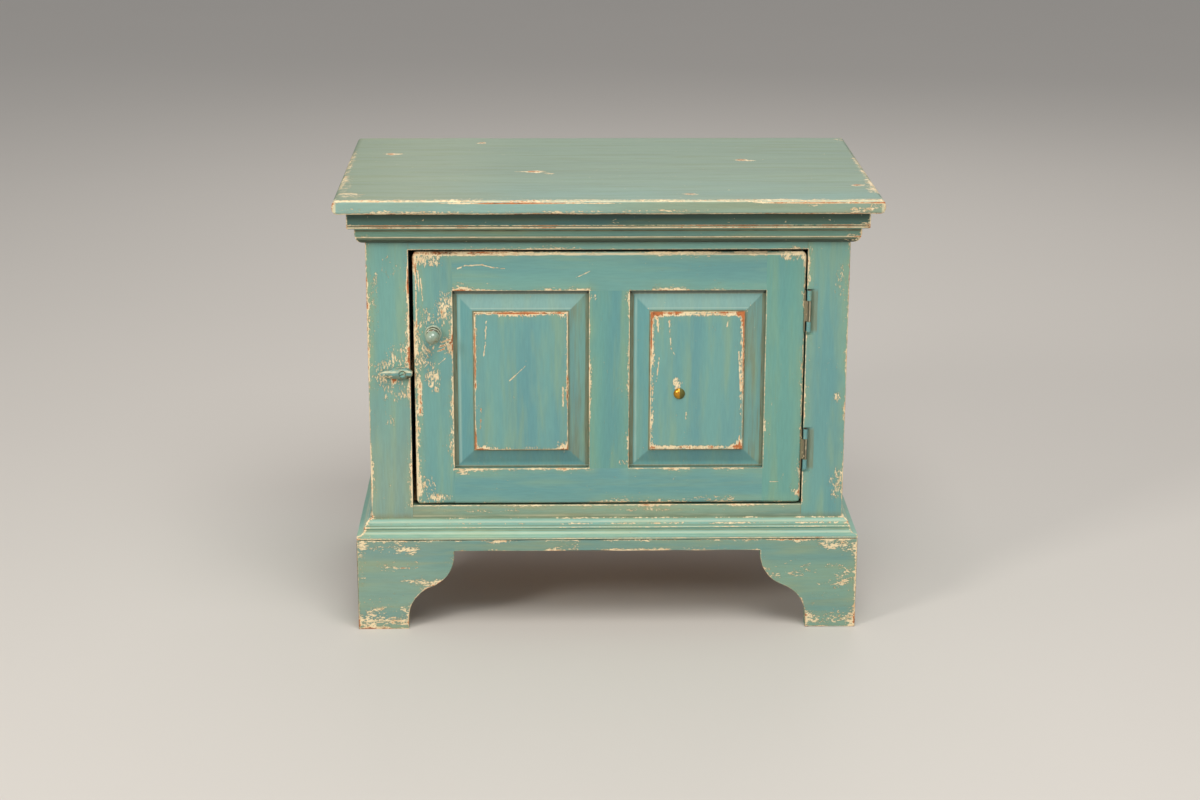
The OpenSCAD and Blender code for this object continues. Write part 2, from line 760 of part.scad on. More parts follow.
module turn_button()
    color(paint) translate([button_x, 0, button_z]) rotate([0, 180, 0]) difference() {
        intersection() {
            upright(button_front_y, button_back_y) polygon(button_outline);
            sideways(-button_tail - past, button_long + past) polygon([
                [button_front_y, -button_flat_half_w], [button_front_y, button_flat_half_w],
                [button_slope_y, button_half_w], [button_back_y, button_half_w],
                [button_back_y, -button_half_w], [button_slope_y, -button_half_w]]);
        }
        bar_y(button_screw_r + button_screw_clearance, 0, 0, button_front_y - past, button_back_y + past);
        bar_y(button_screw_head_r + button_gap, 0, 0,
            button_front_y - past, button_front_y + button_screw_head_h);
    }

// The screw's head sits in the button's counterbore; its shank runs into the face frame
module turn_button_screw_body(extra) {
    bar_y(button_screw_r + extra, button_x, button_z,
        button_front_y + button_gap, button_front_y + button_screw_l + extra);
    bar_y(button_screw_head_r + extra, button_x, button_z,
        button_front_y + button_gap, button_front_y + button_screw_head_h - button_gap);
}

module turn_button_screw()
    color(steel) difference() {
        turn_button_screw_body(0);
        translate([button_x, button_front_y + button_gap, button_z]) rotate([0, -button_slot_turn, 0])
            board(-button_screw_head_r - past, button_screw_head_r + past,
                -past, button_slot_d, -button_slot_w / 2, button_slot_w / 2);
    }

// Door: uprights grooved for the panels, rails and muntin with stub tenons
door_back_y = front_y + door_thickness;

// Everything inside the door's worn outline
module door_outline()
    intersection() {
        translate([(door_x0 + door_x1) / 2, 0, (door_z0 + door_z1) / 2])
            upright(front_y, door_back_y) rounded_rect(door_w, door_h, door_corner_r);
        translate([0, 0, door_z0]) linear_extrude(door_h)
            front_rounded(door_x0, door_x1, door_edge_r);
        rotate([0, -90, 0]) translate([0, 0, -door_x1]) linear_extrude(door_w)
            front_rounded(door_z0, door_z1, door_edge_r);
    }

// A bar seen from its end, from a to b and through the door's thickness, round at its front
module front_rounded(a, b, r) {
    translate([a, front_y + r]) square([b - a, door_thickness - r]);
    translate([a + r, front_y]) square([b - a - 2 * r, r]);
    for (x = [a + r, b - r]) translate([x, front_y + r]) circle(r);
}

// The groove round a panel opening, cut groove_depth past its edges
module panel_groove(x0, x1)
    board(x0 - groove_depth, x1 + groove_depth, groove_y, groove_y + groove_w,
        panel_z0 - groove_depth, panel_z1 + groove_depth);

module door_stile(x0, x1)
    difference() {
        intersection() {
            board(x0, x1, front_y, door_back_y, door_z0, door_z1);
            door_outline();
        }
        board(stile_x0 - groove_depth, stile_x1 + groove_depth, groove_y, groove_y + groove_w,
            door_z0 - past, door_z1 + past);
    }

module door_stile_left()
    color(paint) difference() {
        door_stile(door_x0, stile_x0);
        bar_y(knob_bolt_r + hole_clearance, knob_x, knob_z, front_y - past, door_back_y + past);
    }

module door_stile_right()
    color(paint) difference() {
        door_stile(stile_x1, door_x1);
        for (z = [hinge_low_z, hinge_up_z]) leaf_mortise(door_x1 - hinge_leaf_t, door_x1 + past, z);
        hinge_screw_set(-1, hole_clearance);
    }

// A rail between the uprights, with a stub tenon at each end and a groove on its inner edge,
// which is its upper edge where below is true
module door_rail(z0, z1, below)
    color(paint) {
        difference() {
            intersection() {
                board(stile_x0, stile_x1, front_y, door_back_y, z0, z1);
                door_outline();
            }
            panel_groove(stile_x0, stile_x1);
        }
        for (x = [stile_x0 - tenon_l, stile_x1])
            board(x, x + tenon_l, tongue_y, tongue_y + tongue_t,
                z0 + (below ? 0 : groove_depth), z1 - (below ? groove_depth : 0));
    }

module door_rail_top() door_rail(panel_z1, door_z1, false);
module door_rail_bottom() door_rail(door_z0, panel_z0, true);

module door_muntin()
    color(paint) {
        difference() {
            board(muntin_x0, muntin_x1, front_y, door_back_y, panel_z0, panel_z1);
            panel_groove(stile_x0, muntin_x0);
            panel_groove(muntin_x1, stile_x1);
        }
        board(muntin_x0 + groove_depth, muntin_x1 - groove_depth, tongue_y, tongue_y + tongue_t,
            panel_z0 - tenon_l, panel_z1 + tenon_l);
    }

// Half of a raised panel's section, from the middle of a panel whose opening is w wide
module panel_section(w) {
    edge = w / 2 + tongue_l;
    back = tongue_y + tongue_t;
    foot = w / 2 - panel_margin;
    crest = w / 2 - panel_border;
    polygon([[-edge, back], [-edge, tongue_y], [-foot, tongue_y],
        [-crest, tongue_y - panel_bevel_rise], [-crest, field_y], [crest, field_y],
        [crest, tongue_y - panel_bevel_rise], [foot, tongue_y], [edge, tongue_y], [edge, back]]);
}

// The panel rests on the bottom of its groove
module door_panel(x0, x1) {
    w = x1 - x0;
    h = panel_z1 - panel_z0;
    translate([(x0 + x1) / 2, 0, (panel_z0 + panel_z1) / 2 - panel_play]) intersection() {
        translate([0, 0, -h / 2 - tongue_l]) linear_extrude(h + 2 * tongue_l) panel_section(w);
        rotate([0, 90, 0]) translate([0, 0, -w / 2 - tongue_l])
            linear_extrude(w + 2 * tongue_l) panel_section(h);
    }
}

module door_panel_left() color(paint) door_panel(stile_x0, muntin_x0);

module door_panel_right()
    color(paint) difference() {
        door_panel(muntin_x1, stile_x1);
        bar_y(stud_shank_r + hole_clearance, stud_x, stud_z,
            field_y - past, field_y + stud_shank_l + hole_clearance);
    }

// Knob, turned from one piece: foot, neck, ring and round head
knob_head_q = knob_length - knob_head_r;
knob_ring_q = knob_head_q - knob_head_r;
knob_ring_t = 3;
knob_bolt_reach = 18;

module door_knob()
    color(paint) translate([knob_x, front_y, knob_z]) rotate([90, 0, 0]) difference() {
        rotate_extrude() difference() {
            union() {
                square([knob_foot_r - knob_foot_t / 2, knob_foot_t]);
                translate([knob_foot_r - knob_foot_t / 2, knob_foot_t / 2]) circle(knob_foot_t / 2);
                square([knob_neck_r, knob_head_q]);
                translate([0, knob_ring_q - knob_ring_t / 2])
                    square([knob_ring_r - knob_ring_t / 2, knob_ring_t]);
                translate([knob_ring_r - knob_ring_t / 2, knob_ring_q]) circle(knob_ring_t / 2);
                translate([0, knob_head_q]) circle(knob_head_r);
            }
            translate([-knob_foot_r - past, -past]) square([knob_foot_r + past, knob_length + 2 * past]);
        }
        translate([0, 0, -past])
            cylinder(r = knob_bolt_r + hole_clearance, h = knob_bolt_reach + past + hole_clearance);
    }

knob_bolt_head_r = 4.5;
knob_bolt_head_h = 2.5;

module knob_bolt()
    color(steel) {
        bar_y(knob_bolt_r, knob_x, knob_z, front_y - knob_bolt_reach, door_back_y);
        bar_y(knob_bolt_head_r, knob_x, knob_z, door_back_y, door_back_y + knob_bolt_head_h);
    }

// Brass stud in the right panel: a dome with a shank
stud_shank_r = 1.3;
stud_shank_l = 8;
stud_dome_r = (pow(stud_r, 2) + pow(stud_h, 2)) / (2 * stud_h);

module brass_stud()
    color(brass) translate([stud_x, field_y, stud_z]) rotate([90, 0, 0]) {
        rotate_extrude() intersection() {
            translate([0, stud_h - stud_dome_r]) circle(stud_dome_r);
            square([stud_r + past, stud_h]);
        }
        translate([0, 0, -stud_shank_l]) cylinder(r = stud_shank_r, h = stud_shank_l);
    }

top_board();
top_cleat(-1);  // top_cleat_left
top_cleat(1);  // top_cleat_right
top_screws();
crown_moulding_front();
crown_moulding_left();
crown_moulding_right();
side_board_left();
side_board_right();
frame_stile_left();
frame_stile_right();
frame_rail_top();
frame_rail_bottom();
back_board(1);  // back_board_1
back_board(2);  // back_board_2
back_board(3);  // back_board_3
back_board(4);  // back_board_4
back_rail();
cabinet_floor();
mirror([1, 0, 0]) cleat(floor_z);  // floor_cleat_left
cleat(floor_z);  // floor_cleat_right
shelf();
mirror([1, 0, 0]) shelf_cleat();  // shelf_cleat_left
shelf_cleat();  // shelf_cleat_right
door_stop();
base_moulding_front();
base_moulding_left();
base_moulding_right();
plinth_front();
plinth_left();
plinth_right();
corner_block(-1, front_y, 1);  // corner_block_front_left
corner_block(1, front_y, 1);  // corner_block_front_right
corner_block(-1, rear_y - plinth_thickness, -1);  // corner_block_rear_left
corner_block(1, rear_y - plinth_thickness, -1);  // corner_block_rear_right
rear_foot(-1);  // rear_foot_left
rear_foot(1);  // rear_foot_right
hinge_frame_leaf_upper();
hinge_frame_leaf_lower();
hinge_pin_upper();
hinge_pin_lower();
hinge_frame_screws();
turn_button_screw();
turn_button();
door_stile_left();
door_stile_right();
door_rail_top();
door_rail_bottom();
door_muntin();
door_panel_left();
door_panel_right();
hinge_door_leaf_upper();
hinge_door_leaf_lower();
hinge_door_screws();
door_knob();
knob_bolt();
brass_stud();
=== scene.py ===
# %% [markdown]
# # Painted side cabinet
# The cabinet's boards, mouldings and hinges come from the packed CAD model. This script dresses
# them: brushed blue-green paint over a cream primer, rubbed and chipped down to bare wood at the
# edges, an olive glaze left in the hollows, and a few small pieces that CAD keeps plain.
# All lengths are metres, in the CAD model's own frame: +X to the right, -Y to the viewer, +Z up.

import json
import math

import bmesh
import bpy
from mathutils import Matrix, Vector


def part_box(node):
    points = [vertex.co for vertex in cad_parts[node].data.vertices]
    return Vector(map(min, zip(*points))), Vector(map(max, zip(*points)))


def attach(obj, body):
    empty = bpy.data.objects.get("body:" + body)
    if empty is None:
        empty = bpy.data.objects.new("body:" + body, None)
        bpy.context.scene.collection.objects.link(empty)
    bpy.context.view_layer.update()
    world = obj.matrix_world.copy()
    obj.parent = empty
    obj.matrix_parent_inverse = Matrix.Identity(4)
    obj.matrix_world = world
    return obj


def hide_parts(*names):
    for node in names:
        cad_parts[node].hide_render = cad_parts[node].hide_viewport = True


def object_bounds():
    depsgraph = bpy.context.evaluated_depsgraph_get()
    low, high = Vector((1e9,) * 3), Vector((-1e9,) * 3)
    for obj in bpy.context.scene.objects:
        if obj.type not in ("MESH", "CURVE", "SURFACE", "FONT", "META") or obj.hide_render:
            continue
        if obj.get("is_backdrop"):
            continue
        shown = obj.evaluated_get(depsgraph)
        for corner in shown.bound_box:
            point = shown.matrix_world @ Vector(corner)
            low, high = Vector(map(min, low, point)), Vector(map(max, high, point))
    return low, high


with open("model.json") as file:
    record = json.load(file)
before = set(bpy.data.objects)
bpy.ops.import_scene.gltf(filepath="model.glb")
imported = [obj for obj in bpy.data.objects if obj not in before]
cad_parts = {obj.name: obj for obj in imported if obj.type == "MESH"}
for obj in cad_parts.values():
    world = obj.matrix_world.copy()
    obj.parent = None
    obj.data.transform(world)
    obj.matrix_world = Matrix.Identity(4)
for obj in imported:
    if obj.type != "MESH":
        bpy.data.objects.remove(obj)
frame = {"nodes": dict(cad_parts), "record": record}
cad_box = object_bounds()
mm = 0.001
print("CAD nodes:", len(frame["nodes"]), "box:", [list(c) for c in cad_box])

# %% [markdown]
# ## Camera
# The photograph was taken from in front, a little to the left and well above the top board, with a
# long lens. A camera could be turned by hand until the picture looks alike. This one was fitted to the
# corners of the boards instead, which gives its place, its three turns and its lens all at once, so
# each edge of the render falls within a pixel or so of the photograph's.

# %% Camera
CAMERA_PLACE = (-0.0730, -2.9340, 1.1098)
YAW, PITCH, ROLL = 1.316, 16.529, 0.173
LENS, SENSOR = 71.396, 36


def aim(yaw, pitch, roll):
    """The turn of a camera that looks along +Y, yawed to the right, pitched down and rolled."""
    ahead = Vector((math.sin(yaw) * math.cos(pitch), math.cos(yaw) * math.cos(pitch), -math.sin(pitch)))
    level = Vector((math.cos(yaw), -math.sin(yaw), 0))
    up = level.cross(ahead)
    right = level * math.cos(roll) + up * math.sin(roll)
    top = up * math.cos(roll) - level * math.sin(roll)
    return Matrix((right, top, -ahead)).transposed()


camera_data = bpy.data.cameras.new("camera")
camera_data.sensor_width = SENSOR
camera_data.lens = LENS
camera = bpy.data.objects.new("camera", camera_data)
turn = aim(*[math.radians(angle) for angle in (YAW, PITCH, ROLL)])
camera.matrix_world = Matrix.Translation(CAMERA_PLACE) @ turn.to_4x4()
bpy.context.scene.collection.objects.link(camera)
bpy.context.scene.camera = camera
bpy.context.scene.view_settings.view_transform = "Standard"
print("camera at", CAMERA_PLACE, "lens", LENS, "mm")

# %% [markdown]
# ## Floor and light
# A pale floor and four large, soft lamps. The key lamp stands to the upper left, as in the
# photograph, so the bevels that face up and left are the bright ones, and the panels' finish paints a
# highlight on the upper bevels as well. A sun lamp would do the same with one light, but its shadows
# are hard, and the photograph's are soft.

# %% Floor and light
def lamp(name, place, target, size, power, colour):
    """A square lamp of this size, in metres, that shines from its place towards the target."""
    data = bpy.data.lights.new(name, "AREA")
    data.shape, data.size, data.energy, data.color = "SQUARE", size, power, colour
    thing = bpy.data.objects.new(name, data)
    thing.location = place
    thing.rotation_euler = (Vector(target) - Vector(place)).to_track_quat("-Z", "Y").to_euler()
    bpy.context.scene.collection.objects.link(thing)


lamp("key", (-2.7, -2.7, 2.1), (0, 0, 0.3), 0.9, 60, (1.0, 0.97, 0.92))
lamp("above", (0.3, -1.5, 2.9), (0, 0, 0.4), 1.8, 62, (1.0, 0.98, 0.95))
lamp("fill", (2.6, -2.4, 1.2), (0, 0, 0.3), 2.4, 9, (0.97, 0.98, 1.0))
lamp("back", (0.4, 2.6, 2.4), (0, 0, 0.4), 2.0, 20, (1.0, 0.97, 0.93))

world = bpy.data.worlds.new("studio")
world.use_nodes = True
background = world.node_tree.nodes["Background"]
background.inputs["Color"].default_value = (0.92, 0.92, 0.93, 1)
background.inputs["Strength"].default_value = 0.42
bpy.context.scene.world = world

floor_mesh = bpy.data.meshes.new("floor")
reach = 14
floor_mesh.from_pydata([(-reach, -reach, 0), (reach, -reach, 0), (reach, reach, 0), (-reach, reach, 0)],
                       [], [(0, 1, 2, 3)])
floor = bpy.data.objects.new("floor", floor_mesh)
bpy.context.scene.collection.objects.link(floor)
floor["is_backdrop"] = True

# %% [markdown]
# ## A small language for surfaces
# A shader is a graph of nodes, and long graphs are hard to read as node calls. `Field` wraps one
# output socket, so that a formula such as `(z - 0.2).abs() * 3` builds the nodes that work it out.
# Dragging the nodes about by hand would give the same graph, but no one could read the sums in it.

# %% Field: arithmetic that builds shader nodes
def connect(tree, value, socket):
    """Links a Field to a socket, or sets the socket to a plain value."""
    if isinstance(value, Field):
        tree.links.new(value.socket, socket)
    elif isinstance(value, (tuple, list, Vector)) and len(value) < len(socket.default_value):
        socket.default_value = (*value, 1)
    else:
        socket.default_value = value


class Field:
    """A value, vector or colour that changes over a surface."""

    def __init__(self, tree, socket):
        self.tree, self.socket = tree, socket

    def math(self, operation, *others, clamp=False):
        node = self.tree.nodes.new("ShaderNodeMath")
        node.operation, node.use_clamp = operation, clamp
        for value, socket in zip((self, *others), node.inputs):
            connect(self.tree, value, socket)
        return Field(self.tree, node.outputs[0])

    def vector(self, operation, other, output=0):
        node = self.tree.nodes.new("ShaderNodeVectorMath")
        node.operation = operation
        connect(self.tree, self, node.inputs[0])
        connect(self.tree, other, node.inputs[1])
        return Field(self.tree, node.outputs[output])

    def __add__(self, other):
        return self.math("ADD", other)

    def __sub__(self, other):
        return self.math("SUBTRACT", other)

    def __mul__(self, other):
        return self.math("MULTIPLY", other)

    def __truediv__(self, other):
        return self.math("DIVIDE", other)

    def abs(self):
        return self.math("ABSOLUTE")

    def least(self, other):
        return self.math("MINIMUM", other)

    def most(self, other):
        return self.math("MAXIMUM", other)

    def clamp(self):
        return self.math("ADD", 0, clamp=True)

    def rise(self, low, high):
        """0 below low, 1 above high and smooth between. With low above high it falls instead."""
        node = self.tree.nodes.new("ShaderNodeMapRange")
        node.interpolation_type = "SMOOTHSTEP"
        falls = low > high
        values = (self, min(low, high), max(low, high), int(falls), int(not falls))
        for value, socket in zip(values, node.inputs):
            connect(self.tree, value, socket)
        return Field(self.tree, node.outputs[0])

    def near(self, place, width):
        """1 at place, falling to 0 at width to either side."""
        return (self - place).abs().rise(width, 0)

    def squeeze(self, *factors):
        """A position with each of its parts multiplied. Noise on it is drawn out where a factor is low."""
        return self.vector("MULTIPLY", factors)

    def split(self):
        node = self.tree.nodes.new("ShaderNodeSeparateXYZ")
        connect(self.tree, self, node.inputs[0])
        return [Field(self.tree, socket) for socket in node.outputs]


print("a Field can:", [name for name in vars(Field) if not name.startswith("_")])

# %% Vectors, colours and noise
def join(tree, *parts):
    """A vector from its three parts."""
    node = tree.nodes.new("ShaderNodeCombineXYZ")
    for value, socket in zip(parts, node.inputs):
        connect(tree, value, socket)
    return Field(tree, node.outputs[0])


def mix(factor, first, second, blend="MIX"):
    """A colour between two colours."""
    node = factor.tree.nodes.new("ShaderNodeMix")
    node.data_type, node.blend_type = "RGBA", blend
    for value, index in ((factor, 0), (first, 6), (second, 7)):
        connect(factor.tree, value, node.inputs[index])
    return Field(factor.tree, node.outputs[2])


def noise(place, scale, detail=4, roughness=0.55, distortion=0):
    """Smooth random values about 0.5. scale is how many swings there are in a metre."""
    node = place.tree.nodes.new("ShaderNodeTexNoise")
    for name, value in (("Vector", place), ("Scale", scale), ("Detail", detail),
                        ("Roughness", roughness), ("Distortion", distortion)):
        connect(place.tree, value, node.inputs[name])
    return Field(place.tree, node.outputs[0])


def srgb(red, green, blue):
    """A colour as a painter's chart gives it, 0 to 255, turned into the linear values that shaders use."""
    def linear(c):
        c /= 255
        return c / 12.92 if c <= 0.04045 else ((c + 0.055) / 1.055) ** 2.4
    return (linear(red), linear(green), linear(blue))


print("mid grey in linear values:", srgb(128, 128, 128))

# %% Groups of shader nodes
def make_group(name, inputs, outputs, formula):
    """A shader node group. A capital V, C or F before a colon in a name gives the socket's type."""
    kinds = {"V": "NodeSocketVector", "C": "NodeSocketColor", "F": "NodeSocketFloat"}
    tree = bpy.data.node_groups.new(name, "ShaderNodeTree")
    for direction, labels in (("INPUT", inputs), ("OUTPUT", outputs)):
        for label in labels:
            kind, title = label.split(":")
            tree.interface.new_socket(name=title, in_out=direction, socket_type=kinds[kind])
    source = tree.nodes.new("NodeGroupInput")
    sink = tree.nodes.new("NodeGroupOutput")
    made = formula(*[Field(tree, socket) for socket in source.outputs[:len(inputs)]])
    for field, socket in zip(made, sink.inputs):
        tree.links.new(field.socket, socket)
    print("group", name, "nodes:", len(tree.nodes))
    return tree


def use_group(tree, group, *values):
    """Puts a group into a tree and gives back its outputs."""
    node = tree.nodes.new("ShaderNodeGroup")
    node.node_tree = group
    for value, socket in zip(values, node.inputs):
        connect(tree, value, socket)
    return [Field(tree, socket) for socket in node.outputs]

# %% [markdown]
# ## Effects that the finishes share
# Paint wears first along the edges of a board. On the surface of a box, the distance to the nearest
# edge is the middle one of the distances to its three pairs of faces: the least is zero, because
# the point lies on a face.

# %% Group: distance to a board's edges
def edge_formula(place, low, high):
    x, y, z = place.vector("SUBTRACT", low).vector("MINIMUM", high.vector("SUBTRACT", place)).split()
    return [x.least(y).most(x.most(y).least(z))]


edge_distance = make_group("edge_distance", ["V:Position", "V:Low", "V:High"], ["F:Distance"], edge_formula)

# %% [markdown]
# The boards round a door or a panel wear along the opening's rim, whichever board the rim belongs
# to. This group measures from the outside of an opening: along the face to its rim, and then back
# from the rim into the opening. So the wear runs on over the joints, as it does on the real frame.

# %% Group: distance to the rim of an opening
def opening_formula(place, middle, half):
    sides = place.vector("SUBTRACT", middle)
    along_face = sides.vector("ABSOLUTE", (0, 0, 0)).vector("SUBTRACT", half).vector("MAXIMUM", (0, 0, 0))
    return [along_face.vector("LENGTH", (0, 0, 0), 1) + sides.split()[1].most(0)]


opening_distance = make_group("opening_distance", ["V:Position", "V:Middle", "V:Half_size"],
                              ["F:Distance"], opening_formula)

# %% [markdown]
# A scratch is a straight line from one point to another. The distance to it is measured to the
# nearest point of the line, which a dot product finds as a share of the line's length.

# %% Group: distance to a scratch
def scratch_formula(place, start, end):
    run = end.vector("SUBTRACT", start)
    offset = place.vector("SUBTRACT", start)
    share = (offset.vector("DOT_PRODUCT", run, 1) / run.vector("DOT_PRODUCT", run, 1)).clamp()
    return [offset.vector("SUBTRACT", run.vector("MULTIPLY", share)).vector("LENGTH", (0, 0, 0), 1)]


scratch_distance = make_group("scratch_distance", ["V:Position", "V:Start", "V:End"],
                              ["F:Distance"], scratch_formula)

# %% [markdown]
# A brush leaves streaks along the grain. Noise on a position that is squeezed along the grain gives
# them: a broad swing of tone, streaks about a finger wide, and the marks of single bristles.

# %% Group: brush marks
def brush_formula(place, grain):
    drawn = place.vector("MULTIPLY", grain)
    broad = noise(drawn, 24, 2, 0.5).rise(0.36, 0.64)
    streak = noise(drawn, 78, 3, 0.55, 0.2).rise(0.44, 0.72)
    bristle = noise(drawn, 560, 2, 0.5).rise(0.25, 0.75)
    return [broad, streak, bristle]


brush_marks = make_group("brush_marks", ["V:Position", "V:Grain"],
                         ["F:Broad", "F:Streak", "F:Bristle"], brush_formula)

# %% [markdown]
# Chips have sharp, ragged outlines and come in clusters. Coarse noise gathers them, fine noise gives
# the islands and the specks. The sum is added to a smooth amount of wear and cut at one level, so
# more wear makes the chips grow and join. The same sum cut higher gives the bare wood inside a chip,
# and just below the cut it gives the thin brown rim where glaze has caught.

# %% Group: chips
def chip_formula(place, grain, wear):
    drawn = place.vector("MULTIPLY", grain)
    level = (noise(drawn, 60, 2) - 0.5) * 0.6 + (noise(drawn, 190, 3, 0.6) - 0.5) * 0.9 \
        + (noise(drawn, 640, 3, 0.7) - 0.5) * 1.9 + wear
    primer = level.rise(0.48, 0.54)
    along = drawn.vector("MULTIPLY", grain).vector("ADD", (7.1, 3.3, 5.7))
    wood = (level + (noise(along, 70, 4, 0.6) - 0.5) * 2.0).rise(1.0, 1.1).least(primer)
    rim = (level.rise(0.34, 0.47) - primer).clamp()
    return [primer, wood, rim]


chips = make_group("chips", ["V:Position", "V:Grain", "F:Wear"],
                   ["F:Primer", "F:Wood", "F:Rim"], chip_formula)

# %% [markdown]
# Hands wear a board most round a knob or a latch. A soft ball of wear at such a place, flattened to
# any size, feeds the chips there, so they crowd together without a painted map.

# %% Group: a spot of wear
def spot_formula(place, centre, radii, strength):
    away = place.vector("SUBTRACT", centre).vector("DIVIDE", radii).vector("LENGTH", (0, 0, 0), 1)
    return [away.rise(1, 0.3) * strength]


wear_spot = make_group("wear_spot", ["V:Position", "V:Centre", "V:Radii", "F:Strength"],
                       ["F:Wear"], spot_formula)

# %% [markdown]
# ## The paint
# One function builds every painted finish. It stacks, from the bottom up: bare wood, cream primer,
# brushed paint in three tones, and the olive glaze. Where a board's inside was never painted, old
# pine shows. The glaze is strongest near the edges, where a cloth leaves it, and the chips are
# thickest there too. Each board has its own grain direction, its own edges and its own worn places,
# so no two boards carry the same pattern. A photograph wrapped round the boards would be quicker, but
# it would blur close to and could not follow the edges.

# %% Paint tones
FRONT_TONES = (srgb(103, 154, 152), srgb(115, 165, 155), srgb(142, 170, 136))
PANEL_TONES = (srgb(100, 152, 153), srgb(112, 163, 156), srgb(140, 168, 134))
# The top's tones are greyer and warmer than the front's: a painted reflection of a warm room in its sheen.
TOP_TONES = (srgb(104, 131, 108), srgb(112, 137, 112), srgb(123, 137, 103))
LOW_TONES = (srgb(122, 168, 156), srgb(146, 184, 162), srgb(164, 180, 142))
PLINTH_TONES = (srgb(108, 150, 143), srgb(127, 162, 143), srgb(150, 160, 120))
CROWN_TONES = (srgb(98, 138, 128), srgb(116, 152, 130), srgb(142, 150, 106))
HINGE_TONES = (srgb(150, 132, 112), srgb(126, 112, 94), srgb(104, 90, 74))
KNOB_TONES = (srgb(116, 152, 142), srgb(142, 166, 148), srgb(172, 172, 142))
# The first of the next three tones is the one that painted shade multiplies in.
SHADE_TONE, PALE, BLUE = srgb(136, 150, 150), srgb(214, 208, 172), srgb(104, 166, 166)
MIDDLE_TONES = (srgb(96, 150, 149), srgb(106, 160, 149), srgb(132, 165, 133))
RAIL_TONES = (srgb(118, 158, 146), srgb(138, 168, 144), srgb(162, 164, 126))
OLIVE, DARK = srgb(126, 122, 86), srgb(50, 52, 36)
CREAM, TAN = srgb(243, 222, 180), srgb(208, 160, 108)
ORANGE, BROWN = srgb(194, 114, 60), srgb(124, 78, 46)

grain_of = {"x": (0.1, 1, 1), "y": (1, 0.1, 1), "z": (1, 1, 0.1), "xy": (0.1, 0.1, 1)}
chip_grain_of = {"x": (0.42, 1, 1), "y": (1, 0.42, 1), "z": (1, 1, 0.42), "xy": (0.42, 0.42, 1)}
print("the front's paint, from its deep to its olive brush marks:", FRONT_TONES)

# %% [markdown]
# ## Bare wood
# Inside and behind, the boards were never painted. Pine has soft pale bands and darker late-wood
# lines that wander along the board, and it goes brown with age. Noise that is folded back and forth
# by Ping-pong gives such lines: each fold is a ring that the saw has cut through.

# %% Pine
PINE_LIGHT, PINE_DARK, PINE_AGED = srgb(206, 168, 116), srgb(160, 112, 66), srgb(122, 88, 58)
wood_grain_of = {"x": (0.05, 1, 1), "y": (1, 0.05, 1), "z": (1, 1, 0.05)}


def pine(place, grain):
    """The colour of old pine, with its rings and pores."""
    drawn = place.vector("MULTIPLY", wood_grain_of[grain])
    rings = (noise(drawn, 9, 2, 0.5) * 22).math("PINGPONG", 1.0).rise(0.1, 0.95)
    late = (noise(drawn, 24, 3, 0.55) * 30).math("PINGPONG", 1.0).rise(0.55, 1.0)
    pores = noise(drawn, 900, 3, 0.6).rise(0.35, 0.75)
    dirt = noise(place, 7, 5, 0.6).rise(0.35, 0.75)
    colour = mix(rings * 0.55 + late * 0.3, PINE_LIGHT, PINE_DARK)
    colour = mix(pores * 0.35, colour, PINE_DARK)
    return mix(dirt * 0.5, colour, PINE_AGED), rings, pores


print("pine runs along", list(wood_grain_of))

# %% A new material
def blank_material(name):
    """A material, its tree and the Object coordinates, which stay with a piece when it moves."""
    material = bpy.data.materials.new(name)
    material.use_nodes = True
    tree = material.node_tree
    coordinates = tree.nodes.new("ShaderNodeTexCoord")
    return material, tree, Field(tree, coordinates.outputs["Object"])


def set_surface(tree, colour, roughness, height=None, depth=0.3 * mm, metallic=0.0, coat=0.0):
    """Feeds the Principled shader. height raises the surface, by depth at the most."""
    shader = tree.nodes["Principled BSDF"]
    connect(tree, colour, shader.inputs["Base Color"])
    connect(tree, roughness, shader.inputs["Roughness"])
    connect(tree, metallic, shader.inputs["Metallic"])
    shader.inputs["Coat Weight"].default_value = coat
    shader.inputs["Coat Roughness"].default_value = 0.25 if coat < 0.5 else 0.07
    if height is not None:
        bump = tree.nodes.new("ShaderNodeBump")
        bump.inputs["Distance"].default_value = depth
        connect(tree, height, bump.inputs["Height"])
        tree.links.new(bump.outputs["Normal"], shader.inputs["Normal"])


print("materials so far:", len(bpy.data.materials))
